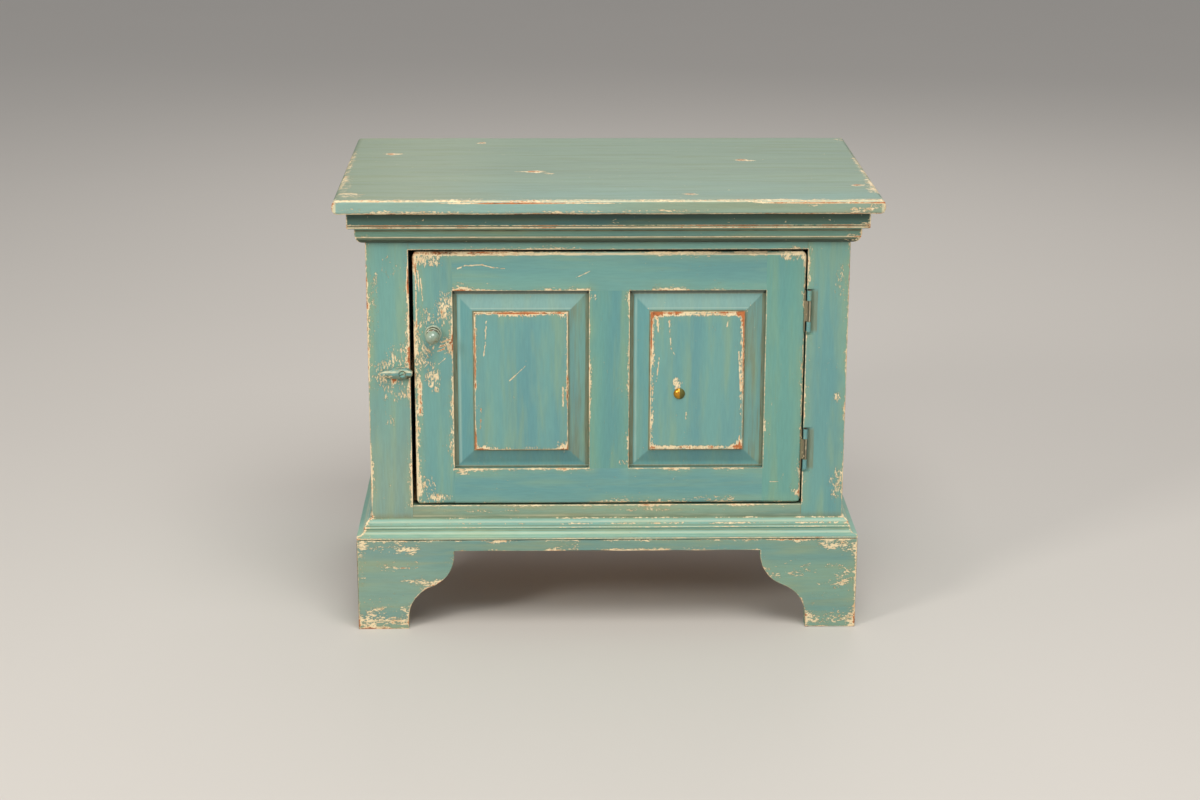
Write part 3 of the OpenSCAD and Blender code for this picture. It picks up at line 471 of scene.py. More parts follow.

# %% [markdown]
# The paint's recipe. First it adds up the wear: a line on the arris, a soft fall away from it, the
# spots, the scratches and whatever the board adds of its own. The chips group turns that into primer
# and wood. Then the colours go on in the order in which the painter and the years put them there,
# with painted shade and painted highlights laid over the glaze where a board asks for them.

# %% The painted finish
def painted(name, grain, seed, away=None, band=2.8 * mm, worn=1.0, wear=None, glaze=None, shade=None,
            pale=None, pale_tone=None, blue=None, unpainted=None, rim_line=0.6, spots=(), scratches=(),
            base=-0.06, tones=FRONT_TONES, green=0.5, glow=0.6, gloss=0.46, coat=0.0):
    """Layers of paint. away gives the distance to the nearest worn edge. wear, glaze, shade, pale and blue
    give, at each place, how much more there is of each."""
    material, tree, place = blank_material(name)
    shifted = place.vector("ADD", (seed * 0.731, seed * 1.317, seed * 0.517))
    broad, streak, bristle = use_group(tree, brush_marks, shifted, grain_of[grain])
    patches = noise(shifted, 17, 2).rise(0.38, 0.62)

    amount = patches * 0.06 + base
    if away is not None:
        distance = away(place)
        line = distance.rise(1.5 * mm, 0.5 * mm) * (patches * 0.2 + 0.55)
        rubbed = (distance * (-1 / band)).math("EXPONENT") * (patches * 0.8 + 0.3) * worn
        amount = amount + line.most(rubbed)
    for centre, radii, strength in spots:
        amount = amount + use_group(tree, wear_spot, place, centre, radii, strength)[0]
    for start, end, width in scratches:
        amount = amount + use_group(tree, scratch_distance, place, start, end)[0].rise(width, 0) * 0.64
    if wear is not None:
        amount = amount + wear(place, patches)
    primer, wood, rim = use_group(tree, chips, shifted, chip_grain_of[grain], amount)

    colour = mix(broad, tones[0], tones[1])
    colour = mix(streak * green, colour, tones[2])
    if away is not None:
        colour = mix(distance.rise(17 * mm, 1 * mm) * (patches * 0.6 + 0.2) * glow, colour, tones[2])
    if blue is not None:
        colour = mix(blue(place).clamp(), colour, BLUE)
    if glaze is not None:
        amount_of_glaze = glaze(place) * (bristle * 0.3 + 0.75)
        colour = mix(amount_of_glaze.clamp(), colour, OLIVE)
        colour = mix((amount_of_glaze - 0.8).rise(0, 0.5), colour, DARK)
    # shade darkens the colour as a painted shade. pale mixes in a pale tone: rubbed paint in some finishes, a
    # painted highlight in others.
    if shade is not None:
        colour = mix(shade(place).clamp(), colour, SHADE_TONE, "MULTIPLY")
    if pale is not None:
        colour = mix(pale(place).clamp(), colour, pale_tone or PALE)
    if away is not None:
        colour = mix(distance.rise(1.4 * mm, 0.5 * mm) * (patches * 0.3 + 0.7) * rim_line, colour, PALE)
    colour = mix(rim * 0.45, colour, OLIVE)
    colour = mix(primer, colour, mix(noise(shifted, 110, 3).rise(0.46, 0.74) * 0.6, CREAM, TAN))
    colour = mix(wood, colour, mix(noise(shifted, 240, 2).rise(0.45, 0.75), ORANGE, BROWN))
    colour = mix(bristle * 0.08, colour, (0, 0, 0))
    roughness = primer * 0.22 + (streak * 0.08 + gloss)
    if unpainted is not None:
        inside = unpainted(place)
        colour = mix(inside, colour, pine(shifted, grain)[0])
        roughness = roughness + inside * 0.2
    height = (bristle * 0.12 + streak * 0.1) - primer * 0.8 - wood * 0.4
    set_surface(tree, colour, roughness, height, coat=coat)
    return material


print("layers under the glaze: cream", CREAM, "tan", TAN, "orange", ORANGE, "brown", BROWN)

# %% Giving a node its finish, and measuring to a board's edges
def give_finish(node, material):
    """Puts a material on a CAD node, in place of what it had."""
    slots = frame["nodes"][node].data.materials
    slots.clear()
    slots.append(material)


def paint_node(node, *where, **layers):
    """Gives a CAD node a painted finish of its own. painted says what where and layers may hold."""
    give_finish(node, painted(node + "_paint", *where, **layers))


def from_edges(low, high):
    """The distance to the edges of a box, as a function of the position."""
    return lambda place: use_group(place.tree, edge_distance, place, low, high)[0]


def nearest(*distances):
    """The least of several distances, as a function of the position."""
    def formula(place):
        least = distances[0](place)
        for distance in distances[1:]:
            least = least.least(distance(place))
        return least
    return formula


print("nodes that wait for a finish:", len(frame["nodes"]))

# %% [markdown]
# ## Case: frame, side boards and door
# The frame's uprights and the door's uprights run up and down, the rails run across. Wear gathers
# along the arrises, round the knob and where the turn button has scraped for years. Those places are
# lists of spots and scratches, in millimetres on the front, so each can be moved by its numbers.

# %% Places that the wear follows
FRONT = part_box("frame_stile_left")[0].y
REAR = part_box("side_board_left")[1].y
CASE_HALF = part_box("side_board_right")[1].x
DOOR_LOW, DOOR_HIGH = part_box("door_stile_left")[0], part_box("door_stile_right")[1]
KNOB = (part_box("door_knob")[0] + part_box("door_knob")[1]) / 2
PIVOT = (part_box("turn_button_screw")[0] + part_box("turn_button_screw")[1]) / 2
stud_low, stud_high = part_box("brass_stud")
stud_middle = (stud_low + stud_high) / 2
TOP_LOW, TOP_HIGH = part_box("top_board")
print("front plane", FRONT, "knob", list(KNOB), "pivot", list(PIVOT))


def opening(x0, x1, z0, z1):
    """The distance to the rim of an opening in the front, as a function of the position."""
    middle = ((x0 + x1) / 2, FRONT, (z0 + z1) / 2)
    half = ((x1 - x0) / 2, 1, (z1 - z0) / 2)
    return lambda place: use_group(place.tree, opening_distance, place, middle, half)[0]


OPENING_X0, OPENING_X1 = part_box("frame_stile_left")[1].x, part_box("frame_stile_right")[0].x
OPENING_Z0, OPENING_Z1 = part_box("frame_rail_bottom")[1].z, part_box("frame_rail_top")[0].z
STILE_X0, STILE_X1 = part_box("door_stile_left")[1].x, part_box("door_stile_right")[0].x
PANEL_Z0, PANEL_Z1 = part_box("door_rail_bottom")[1].z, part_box("door_rail_top")[0].z
MUNTIN_X0, MUNTIN_X1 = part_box("door_muntin")[0].x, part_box("door_muntin")[1].x
case_edges = from_edges((-CASE_HALF, FRONT, -1), (CASE_HALF, REAR, 2))
door_opening = opening(OPENING_X0, OPENING_X1, OPENING_Z0, OPENING_Z1)
case_away = nearest(case_edges, door_opening)
door_away = nearest(from_edges(tuple(DOOR_LOW), tuple(DOOR_HIGH)),
                    opening(STILE_X0, MUNTIN_X0, PANEL_Z0, PANEL_Z1),
                    opening(MUNTIN_X1, STILE_X1, PANEL_Z0, PANEL_Z1))
print("panel openings", STILE_X0, MUNTIN_X0, MUNTIN_X1, STILE_X1, "from", PANEL_Z0, "to", PANEL_Z1)


def on_front(x, z, rx, rz, strength, y=FRONT):
    """A worn spot on the front of the cabinet. x and z are its middle, rx and rz its reach, in mm."""
    return ((x * mm, y, z * mm), (rx * mm, 20 * mm, rz * mm), strength)


def scratch(x0, z0, x1, z1, width, y=FRONT):
    """A scratch from one point of the front to another, in mm."""
    return ((x0 * mm, y, z0 * mm), (x1 * mm, y, z1 * mm), width * mm)


latch_spots = [on_front(-252, 343, 22, 30, 0.4), on_front(-256, 300, 22, 26, 0.38),
               on_front(-274, 325, 18, 26, 0.4), on_front(-210, 318, 15, 32, 0.46),
               on_front(-222, 346, 16, 22, 0.42), on_front(-258, 317, 5, 9, 0.9)]
knob_spots = [on_front(-210, 393, 28, 22, 0.4), on_front(-199, 356, 22, 18, 0.26),
              on_front(-196, 412, 16, 20, 0.38), on_front(-226, 372, 8, 20, 0.2)]
corner_spots = [on_front(-219, 178, 17, 24, 0.34), on_front(-205, 166, 24, 8, 0.40),
                on_front(-213, 462, 24, 12, 0.42), on_front(222, 466, 28, 7, 0.42)]
case_spots = [on_front(-278, 425, 8, 40, 0.30), on_front(-264, 264, 9, 13, 0.34),
              on_front(277, 435, 12, 34, 0.33), on_front(279, 292, 7, 12, 0.5),
              on_front(279, 180, 12, 32, 0.33), on_front(-262, 455, 16, 22, 0.24)]
print("worn spots:", sum(map(len, (latch_spots, knob_spots, corner_spots, case_spots))))

# %% [markdown]
# Glaze gathers where nothing rubs: under the crown and in the seams between two boards. The faces
# inside the gap round the door are darkened as painted shade. Each is a band of x, y or z with soft
# borders.

# %% Painted shade in the gap, and glaze in the seams
def gap_shade(place):
    """Painted shade: the faces inside the gap between door and frame are darkened, as the gap lies in shadow.
    """
    x, y, z = place.split()
    deep = y.rise(FRONT + 1.2 * mm, FRONT + 2.5 * mm)
    top = z.rise(DOOR_HIGH.z - 0.4 * mm, DOOR_HIGH.z - 0.2 * mm) \
        * z.rise(OPENING_Z1 + 0.3 * mm, OPENING_Z1 + 0.1 * mm)
    return deep * top * x.abs().rise(OPENING_X1 + 1 * mm, OPENING_X1 + 0.5 * mm) * 1.4


def seam_glaze(*planes):
    """Glaze left in the seams at these x planes and under the crown, and painted shade in the door's gap."""
    def formula(place):
        x, y, z = place.split()
        glaze = z.rise(478 * mm, 490 * mm) * 0.35 + z.rise(148 * mm, 139 * mm) * 0.45 \
            + z.rise(360 * mm, 160 * mm) * x.rise(-200 * mm, -250 * mm) * 0.22
        glaze = glaze.most(gap_shade(place))
        for plane in planes:
            glaze = glaze.most(x.near(plane, 1.6 * mm) * 0.7)
        return glaze
    return formula


print("seams of the frame at", OPENING_X0, OPENING_X1)

# %% Frame uprights and rails
def frame_rub(place, patches):
    """Bare wood on the arris beside the opening, high on the left, and here and there on the outer arris."""
    x, y, z = place.split()
    inner = (x - OPENING_X0).abs().rise(3.6 * mm, 0.8 * mm) * z.near(436 * mm, 34 * mm) * 1.4
    rows = noise(place.squeeze(0, 0, 1), 26, 2).rise(0.5, 0.6)
    outer = (x.abs() - CASE_HALF).abs().rise(2.8 * mm, 0.6 * mm) * rows * 0.75
    return (inner + outer) * (y - FRONT).rise(4 * mm, 1 * mm)


def faded_low(place):
    """The left upright has faded towards its foot, on the side that the window light reached."""
    x, y, z = place.split()
    return z.rise(360 * mm, 160 * mm) * x.rise(-200 * mm, -250 * mm) * 0.12


def hinge_grime(place):
    """Olive grime beside each hinge, on the frame."""
    x, y, z = place.split()
    beside = (x - (OPENING_X1 + 9.5 * mm)).abs().rise(4.6 * mm, 2.6 * mm)
    rows = z * 0
    for level in ("upper", "lower"):
        low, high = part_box("hinge_frame_leaf_" + level)
        middle, half = (low.z + high.z) / 2, (high.z - low.z) / 2
        rows = rows + (z - middle).abs().rise(half + 3 * mm, half - 3 * mm)
    return (beside * rows * 0.62).most(seam_glaze()(place))


def rail_pale(place):
    """A pale, broken line along the bottom rail, just above the base moulding."""
    streaks = noise(place.squeeze(0.1, 1, 1), 90, 2).rise(0.4, 0.6)
    return place.split()[2].near(141.5 * mm, 2.2 * mm) * streaks * 0.5


paint_node(
    "frame_stile_left", "z", 1, case_away, worn=1.1, wear=frame_rub,
    spots=latch_spots[:3] + latch_spots[5:] + case_spots[:2] + case_spots[5:],
    glaze=seam_glaze(), pale=faded_low, base=-0.03, glow=0.8)
paint_node(
    "frame_stile_right", "z", 2, case_away, worn=0.75, spots=case_spots[2:5], glaze=hinge_grime,
    glow=0.6)
paint_node(
    "frame_rail_top", "x", 3, case_away, worn=0.75, glaze=seam_glaze(OPENING_X0, OPENING_X1), glow=0.4)
paint_node(
    "frame_rail_bottom", "x", 4, case_away, worn=0.9, glaze=seam_glaze(OPENING_X0, OPENING_X1),
    tones=RAIL_TONES, glow=0.5, green=0.7, pale=rail_pale,
    spots=[on_front(-150, 147, 90, 4, 0.3), on_front(60, 148, 120, 3, 0.3)])
print("frame painted:", [name for name in frame["nodes"] if name.startswith("frame_")])

# %% Side boards
def inside_case(place):
    """1 on the faces that look into the cabinet."""
    return place.split()[0].abs().rise(CASE_HALF - 4 * mm, CASE_HALF - 6 * mm)


for index, name in enumerate(("side_board_left", "side_board_right")):
    paint_node(name, "z", 5 + index, case_away, worn=0.8, glaze=seam_glaze(), unpainted=inside_case)
print("side boards: painted outside, bare pine inside of", CASE_HALF - 5 * mm)

# %% [markdown]
# ## Door frame
# The door is handled most, at its left upright and its top rail. The turn button has dragged the
# paint off one strip, hands have rubbed the top arris down to a cream band, and keys or rings have
# scratched the rail. A strip is a band that is narrow in x and long in z, with noise at its border.

# %% Door uprights, rails and the upright between the panels
def latch_rub(place, patches):
    """Bare wood along the door's edge, just below where the turn button drags."""
    x, y, z = place.split()
    low = (x - DOOR_LOW.x).near(6.5 * mm, 4.5 * mm) \
        * z.rise(262 * mm, 285 * mm) * z.rise(325 * mm, 310 * mm) * 0.95
    high = (x - DOOR_LOW.x).near(3.6 * mm, 1.5 * mm) \
        * z.rise(372 * mm, 385 * mm) * z.rise(466 * mm, 455 * mm) * 0.95
    return low + high * (patches * 0.5 + 0.5)


def top_rub(place, patches):
    """The cream band along the door's top arris, widest near the knob."""
    x, y, z = place.split()
    ragged = noise(place.squeeze(0.3, 1, 1), 130, 2) - 0.5
    edge = (z - (DOOR_HIGH.z - 1.6 * mm) + ragged * (4 * mm)).abs().rise(3.4 * mm, 1.6 * mm)
    return edge * (x.rise(-10 * mm, -60 * mm) * 0.3 + x.rise(130 * mm, 190 * mm) * 0.25)


def top_rub_pale(place):
    """The primer that shows through the thin paint of that band."""
    x, y, z = place.split()
    ragged = noise(place.squeeze(0.3, 1, 1), 130, 2) - 0.5
    edge = (z - (DOOR_HIGH.z - 1.8 * mm) + ragged * (3 * mm)).abs().rise(2.6 * mm, 1.6 * mm)
    return edge * y.rise(FRONT + 1 * mm, FRONT + 0.4 * mm) * (x.rise(-10 * mm, -60 * mm) * 0.25 + 0.7)


def left_stile_wear(place, patches):
    """Both kinds of wear meet on the left upright."""
    return latch_rub(place, patches) + top_rub(place, patches)


rail_scratches = [scratch(-180, 453, -171, 456.5, 1.5), scratch(-171, 456.5, -150, 457.4, 1.5),
                  scratch(-150, 457.4, -137, 454, 1.4), scratch(-137, 454, -124, 452.8, 1.3),
                  scratch(-38.7, 441.5, -22.4, 449.3, 1.3)]
stile_scratches = [scratch(-200, 362, -190, 366, 1.5), scratch(-203, 356, -189, 362, 1.4),
                   scratch(-205, 351, -197, 354, 1.3), scratch(-224, 441, -222, 414, 1.6),
                   scratch(-227, 450, -226, 425, 1.5), scratch(-204, 335, -196, 342, 1.4)]
paint_node(
    "door_stile_left", "z", 7, door_away, band=3.8 * mm, worn=1.15,
    spots=latch_spots[3:5] + knob_spots + corner_spots[:3], scratches=stile_scratches, base=-0.03,
    wear=left_stile_wear, pale=top_rub_pale, pale_tone=CREAM, glaze=gap_shade)
paint_node(
    "door_stile_right", "z", 8, door_away, worn=0.8, wear=top_rub, pale=top_rub_pale, pale_tone=CREAM,
    glaze=gap_shade, tones=MIDDLE_TONES, spots=[corner_spots[3], on_front(232, 171, 9, 7, 0.36)],
    scratches=[scratch(199, 184, 209, 184, 1.1)])
paint_node(
    "door_rail_top", "x", 9, door_away, band=3.2 * mm, worn=1.0, wear=top_rub, pale=top_rub_pale,
    pale_tone=CREAM, scratches=rail_scratches, glaze=gap_shade,
    spots=corner_spots[2:4] + [on_front(-175, 432, 14, 7, 0.3)], green=0.35)
paint_node(
    "door_rail_bottom", "x", 10, door_away, worn=0.95, green=0.35,
    spots=[corner_spots[1], on_front(-177, 197, 10, 5, 0.5), on_front(20, 162, 26, 6, 0.3),
           on_front(125, 163, 60, 6, 0.26)])
paint_node(
    "door_muntin", "z", 11, door_away, worn=0.85, tones=MIDDLE_TONES,
    spots=[on_front(-16, 418, 9, 6, 0.45), on_front(18, 210, 8, 6, 0.4)])
print("door frame: scratches", len(rail_scratches) + len(stile_scratches) + 1)

# %% [markdown]
# ## Raised panels
# A panel is bevelled up to a raised field with a small step round it. The step's arris is the most
# rubbed line on the whole door: bare orange wood along its top and sides, cream chips inside it. The
# flat margin next to the door frame holds olive glaze, which is widest on the left, where a band of
# painted shadow joins it; the top margin carries painted shadow too. The bevel below the field is
# painted in shade, and the bevel above it is painted pale as a highlight. Every mark on a panel keeps
# to its outline, so each is worked out from two distances: how far a point lies outside the field,
# sideways and upwards.

# %% Panel finish
BORDER = 25.5 * mm
FIELD_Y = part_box("door_panel_left")[0].y
FIELD_DROP = 1.5 * mm


def paint_panel(name, seed, x0, x1, spots, scratches, worn=0.95, ragged=0.3, sides=0.1):
    """Paints one panel, between the planes x0 and x1. ragged and sides say how strong the wear just
    inside the field's edge is: ragged along its top and bottom, sides all round."""
    middle_x, half_w = (x0 + x1) / 2, (x1 - x0) / 2
    middle_z, half_h = (PANEL_Z0 + PANEL_Z1) / 2, (PANEL_Z1 - PANEL_Z0) / 2

    def to_field(place):
        """How far a point lies outside the field, sideways and upwards."""
        x, y, z = place.split()
        return (x - middle_x).abs() - (half_w - BORDER), \
            (z - (middle_z - FIELD_DROP)).abs() - (half_h - BORDER)

    def ridge(place):
        """The distance to the field's arris, counted faster on the outside, where less is rubbed."""
        across, up = to_field(place)
        outside = across.most(up)
        return (outside * -1).most(outside * 2.5)

    def wear(place, patches):
        """Bare wood on the arris, ragged chips inside it, and some on the corners and the mitres."""
        x, y, z = place.split()
        across, up = to_field(place)
        top = (z - middle_z).rise(0, 1 * mm)
        bare = across.most(up).near(-0.9 * mm, 1.5 * mm) * (top * 0.34 + patches * 0.5 + 0.1)
        inside = across.most(up)
        drips = inside.rise(-8 * mm, -2 * mm) * inside.rise(-0.8 * mm, -2 * mm)
        bare = bare.most(drips * up.abs().rise(10 * mm, 4 * mm) * ragged).most(drips * sides)
        corner = across.rise(-18 * mm, 0).least(up.rise(-16 * mm, 0)) * inside.rise(1 * mm, 0) * 0.4
        mitre = (across - up).near(0, 1.6 * mm) * across.least(up).rise(0, 1 * mm) * 0.15
        return bare + corner + mitre

    def glaze(place):
        """Olive glaze on margin, step and right bevel; painted shadow in a band on the left and along the
        top.
        """
        x, y, z = place.split()
        across, up = to_field(place)
        left = (x - middle_x).rise(0, -1 * mm)
        to_rim = (across * -1 + BORDER).least(up * -1 + BORDER)
        side = across.rise(-1 * mm, 1 * mm) * (across - up).rise(-1 * mm, 1 * mm)
        margin = to_rim.rise(3.7 * mm, 3.1 * mm) * 0.8
        channel = to_rim.rise(5.4 * mm, 4.8 * mm) * side * left * 0.82
        seam = to_rim.near(3.6 * mm, 0.9 * mm) * 1.1
        high = (up * -1 + BORDER).rise(3.8 * mm, 3.2 * mm) * (z - middle_z).rise(0, 1 * mm) * 1.5
        step = across.most(up).near(1.2 * mm, 1.5 * mm) * 1.0
        streaks = noise(place.squeeze(1, 1, 0.06), 170, 2).rise(0.42, 0.62)
        right_bevel = side * (left * -1 + 1) * (streaks * 0.45 + 0.12)
        return margin.most(step).most(right_bevel).most(channel).most(seam).most(high)

    def shade(place):
        """Painted shade on the bevels, deepest on the one below the field, which faces away from the light.
        """
        z = place.split()[2]
        across, up = to_field(place)
        out = across.most(up)
        bevel = out.rise(0.5 * mm, 3 * mm) * out.rise(BORDER - 3 * mm, BORDER - 11 * mm)
        below = (up - across).rise(-2 * mm, 2 * mm) * (z - middle_z).rise(0, -1 * mm)
        return bevel * (below * 0.42 + 0.08)

    def pale(place):
        """Painted highlight on the bevel above the field, a pale band on the left bevel, a pale line low
        down.
        """
        x, y, z = place.split()
        across, up = to_field(place)
        above = (up - across).rise(-1.5 * mm, 1.5 * mm) * (z - middle_z).rise(0, 1 * mm)
        beside = (across - up).rise(-1 * mm, 1 * mm) * (x - middle_x).rise(0, -1 * mm)
        outer = (across - (BORDER - 7.5 * mm)).near(0, 2.6 * mm)
        line = (up - 4.6 * mm).near(0, 0.9 * mm)
        foot = (up - (BORDER - 3.6 * mm)).near(0, 0.8 * mm) * (z - middle_z).rise(0, -1 * mm)
        return up.rise(1.5 * mm, 4 * mm) * above * (line * 0.3 + 0.26) + beside * outer * 0.35 + foot * 0.5

    def blue(place):
        """The bevels kept more of the blue than the field did, all but the right one."""
        x, y, z = place.split()
        across, up = to_field(place)
        right = (across - up).rise(-1 * mm, 1 * mm) * (x - middle_x).rise(-1 * mm, 0)
        return across.most(up).rise(1 * mm, 4 * mm) * (right * -1 + 1) * 0.4

    paint_node(name, "z", seed, ridge, band=2.2 * mm, worn=worn, wear=wear, glaze=glaze, shade=shade,
               pale=pale, pale_tone=srgb(190, 214, 198), blue=blue, spots=spots, scratches=scratches,
               tones=PANEL_TONES, glow=0.25, base=-0.09)


left_marks = [scratch(-119.4, 313.2, -98.4, 333.3, 1.3, FIELD_Y),
              scratch(-146.2, 388, -147.5, 366, 2.0, FIELD_Y),
              scratch(-147.5, 362, -149.8, 345, 1.3, FIELD_Y),
              scratch(-153.4, 279, -154.8, 254, 1.8, FIELD_Y),
              scratch(-54.5, 305, -54.1, 281, 1.6, FIELD_Y)]
right_marks = [scratch(59.1, 391, 60.4, 374, 2.2, FIELD_Y), scratch(73.4, 387.6, 76, 353.6, 1.7, FIELD_Y),
               scratch(76, 353.6, 80.5, 345.7, 1.5, FIELD_Y), scratch(61.8, 342.3, 58.8, 312.6, 1.8, FIELD_Y),
               scratch(157.8, 349, 161, 300, 1.5, FIELD_Y), scratch(160.5, 243, 161.5, 225, 1.8, FIELD_Y),
               scratch(95.4, 273, 95.0, 265, 1.8, FIELD_Y), scratch(145, 388, 143, 381, 2.0, FIELD_Y)]
paint_panel(
    "door_panel_left", 12, STILE_X0, MUNTIN_X0,
    [on_front(-58, 234, 13, 8, 0.3), on_front(-145, 232, 12, 10, 0.3)], left_marks)
paint_panel(
    "door_panel_right", 13, MUNTIN_X1, STILE_X1,
    [((stud_middle.x - 2.5 * mm, FIELD_Y, stud_middle.z + 12.5 * mm), (9.2 * mm, 9 * mm, 12.5 * mm), 0.69),
     on_front(66, 385, 14, 14, 0.2), on_front(124, 377, 12, 7, 0.25), on_front(157, 232, 8, 10, 0.3)],
    right_marks, worn=0.6, ragged=0.72, sides=0.42)
print("panels: scratches", len(left_marks) + len(right_marks), "stud at", list(stud_middle))

# %% [markdown]
# ## Top board
# The top is flatter and greyer than the rest, brushed along its length, with a few knots that show
# through as brown eyes with cream chips at their ends. Its front edge is rubbed along the whole
# length: a cream band with orange wood showing in it. The knots could be noise too, but where they
# are in the photograph is known, so they are a list.

# %% Top board finish
def knot(x, y, rx, ry, strength):
    """A knot in the top. x and y are its middle, rx and ry its reach, in mm."""
    return ((x * mm, y * mm, TOP_HIGH.z), (rx * mm, ry * mm, 10 * mm), strength)


knots = [knot(-86, -32, 22, 13, 0.56), knot(-70, -42, 10, 8, 0.5), knot(-106, -28, 9, 5, 0.5),
         knot(-271, 88, 18, 11, 0.54), knot(-258, 90, 9, 6, 0.4), knot(-158, 165, 13, 10, 0.5),
         knot(175, 44, 18, 11, 0.5), knot(187, 40, 10, 6, 0.4), knot(301, -118, 13, 10, 0.52),
         knot(96, -170, 17, 8, 0.5)]
knot_eyes = [knot(-89, -29, 14, 6, 0.9), knot(-272, 89, 9, 5, 0.9), knot(-158, 166, 7, 4, 0.9),
             knot(173, 45, 9, 5, 0.9), knot(301, -117, 7, 4, 0.9), knot(96, -169, 9, 3, 0.9)]
corner_chips = [knot(-306, -172, 30, 26, 0.46), knot(-315, -110, 15, 76, 0.42), knot(315, -130, 13, 66, 0.42),
                knot(-180, -196, 150, 6, 0.3), knot(318, 190, 14, 18, 0.4), knot(-321, 20, 9, 190, 0.44),
                knot(200, -197, 130, 5, 0.3), knot(321, 0, 9, 210, 0.5)]
slab_chips = [((x * mm, TOP_LOW.y, TOP_HIGH.z - z * mm), (rx * mm, 8 * mm, rz * mm), strength)
              for x, z, rx, rz, strength in (
                  (296, 12, 34, 5, 0.42), (236, 6, 22, 4, 0.36), (312, 7, 14, 5, 0.36),
                  (-300, 12, 24, 5, 0.3), (-255, 14, 40, 4, 0.36))]
print("top board: knots", len(knots), "chipped places", len(corner_chips) + len(slab_chips))


def front_arris(place, patches):
    """More wear along the front edge of the top than along its other edges."""
    x, y, z = place.split()
    front = (y - TOP_LOW.y).rise(9 * mm, 2 * mm)
    streaks = noise(place.squeeze(0.08, 1, 1), 60, 3).rise(0.38, 0.53)
    other = noise(place.squeeze(0.08, 1, 1).vector("ADD", (5, 5, 5)), 60, 3).rise(0.42, 0.6)
    leftmost = x.rise(-80 * mm, -200 * mm)
    upper = (z - (TOP_HIGH.z - 1.0 * mm)).abs().rise(1.5 * mm, 0.8 * mm) * (leftmost * 0.2 + 0.34)
    below = z.near(TOP_HIGH.z - 3.5 * mm, 1.5 * mm) * streaks * 1.5
    behind = (y - (TOP_LOW.y + 4.4 * mm)).abs().rise(1.6 * mm, 0.5 * mm) \
        * z.rise(TOP_HIGH.z - 1 * mm, TOP_HIGH.z) * other * 1.1
    flecks = z.near(TOP_LOW.z + 4.4 * mm, 3.4 * mm) * other * 0.5
    ends = x.abs().rise(TOP_HIGH.x - 5.0 * mm, TOP_HIGH.x - 1.6 * mm) * (y - TOP_LOW.y).rise(30 * mm, 12 * mm)
    foot = z.near(TOP_LOW.z + 0.9 * mm, 1.9 * mm)
    eyes = x * 0
    for centre, radii, strength in knot_eyes:
        eyes = eyes + use_group(place.tree, wear_spot, place, centre, radii, strength)[0]
    return front * (upper + below + behind + flecks + foot * (streaks * 0.3 + 0.54)) + ends * 0.6 + eyes


def top_blue(place):
    """The slab's front face keeps the blue paint, without the top's painted reflection; the top is bluer in
    front.
    """
    x, y, z = place.split()
    along = noise(place.squeeze(0.16, 1, 1), 22, 2).rise(0.36, 0.62) * 0.5
    cloud = noise(place.squeeze(0.5, 1, 1), 7, 2).rise(0.3, 0.7)
    behind_edge = y - TOP_LOW.y
    return behind_edge.rise(3 * mm, 1 * mm) * (along + x.rise(200 * mm, -300 * mm) * 0.3 + 0.05) \
        + behind_edge.rise(200 * mm, 20 * mm) * x.rise(-280 * mm, -80 * mm) * cloud * 0.26


def top_pale(place):
    """Painted highlight on the front face, palest on its rubbed arrises; pale ends; the top faded on the
    left.
    """
    x, y, z = place.split()
    front = (y - TOP_LOW.y).rise(4 * mm, 1.5 * mm)
    ends = x.abs().rise(TOP_HIGH.x - 6.5 * mm, TOP_HIGH.x - 4.5 * mm) * (y - TOP_LOW.y).rise(24 * mm, 10 * mm)
    arrises = z.near(TOP_HIGH.z - 1.3 * mm, 1.4 * mm) + z.near(TOP_LOW.z + 0.6 * mm, 1.3 * mm)
    faded = z.rise(TOP_HIGH.z - 2 * mm, TOP_HIGH.z - 1 * mm) * x.rise(-80 * mm, -240 * mm) * 0.12
    return front * (arrises * 0.9 + 0.22) + ends * 0.75 + faded


paint_node(
    "top_board", "x", 14, from_edges(tuple(TOP_LOW), tuple(TOP_HIGH)), band=1.9 * mm, worn=0.45,
    wear=front_arris, pale=top_pale, blue=top_blue, spots=knots + corner_chips + slab_chips,
    tones=TOP_TONES, green=0.36, glow=0.3, gloss=0.42, coat=0.1)

# %% [markdown]
# ## Mouldings
# A moulding's profile is the same along its whole length, so its worn ridges and its dark hollows are
# bands of height: a short list gives each band's height, half its width and its strength. The crown
# holds the most glaze, and is painted in shade under the top, with painted shadow in dark lines under
# its members. The base moulding is paler; hands and brooms have rubbed pale lines along its ridges,
# and a band on its cove is a painted highlight.

# %% Moulding finishes
def banded(bands):
    """A sum of (height, half width, strength) bands, as a function of the position."""
    def formula(place, patches=None):
        z = place.split()[2]
        total = z * 0
        for height, width, strength in bands:
            total = total + z.near(height, width) * strength
        return total if patches is None else total * (patches * 0.55 + 0.45)
    return formula


BEAD_DROP = 18.7
crown_foot, crown_top = [corner.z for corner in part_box("crown_moulding_front")]
crown_bead = crown_top - BEAD_DROP * mm
crown_wear = banded([(crown_bead + 0.1 * mm, 1.4 * mm, 1.2), (crown_bead + 2.8 * mm, 0.8 * mm, 1.5),
                     (crown_foot + 8.4 * mm, 1.1 * mm, 0.75), (TOP_LOW.z - 12 * mm, 5 * mm, 0.14)])
# Of these glaze bands, the dark ones under the top, under the bead and at the crown's foot are painted
# shadow; the brown lines and the olive on the round are glaze.
crown_glaze_and_shadow = banded([(crown_bead - 5.2 * mm, 1.5 * mm, 1.2), (crown_foot + 0.8 * mm, 2.0 * mm, 1.5),
                      (crown_foot + 4.0 * mm, 4.2 * mm, 0.74), (crown_bead + 1.9 * mm, 0.8 * mm, 1.5),
                      (crown_foot + 7.3 * mm, 0.8 * mm, 1.2), (TOP_LOW.z, 5 * mm, 1.3)])
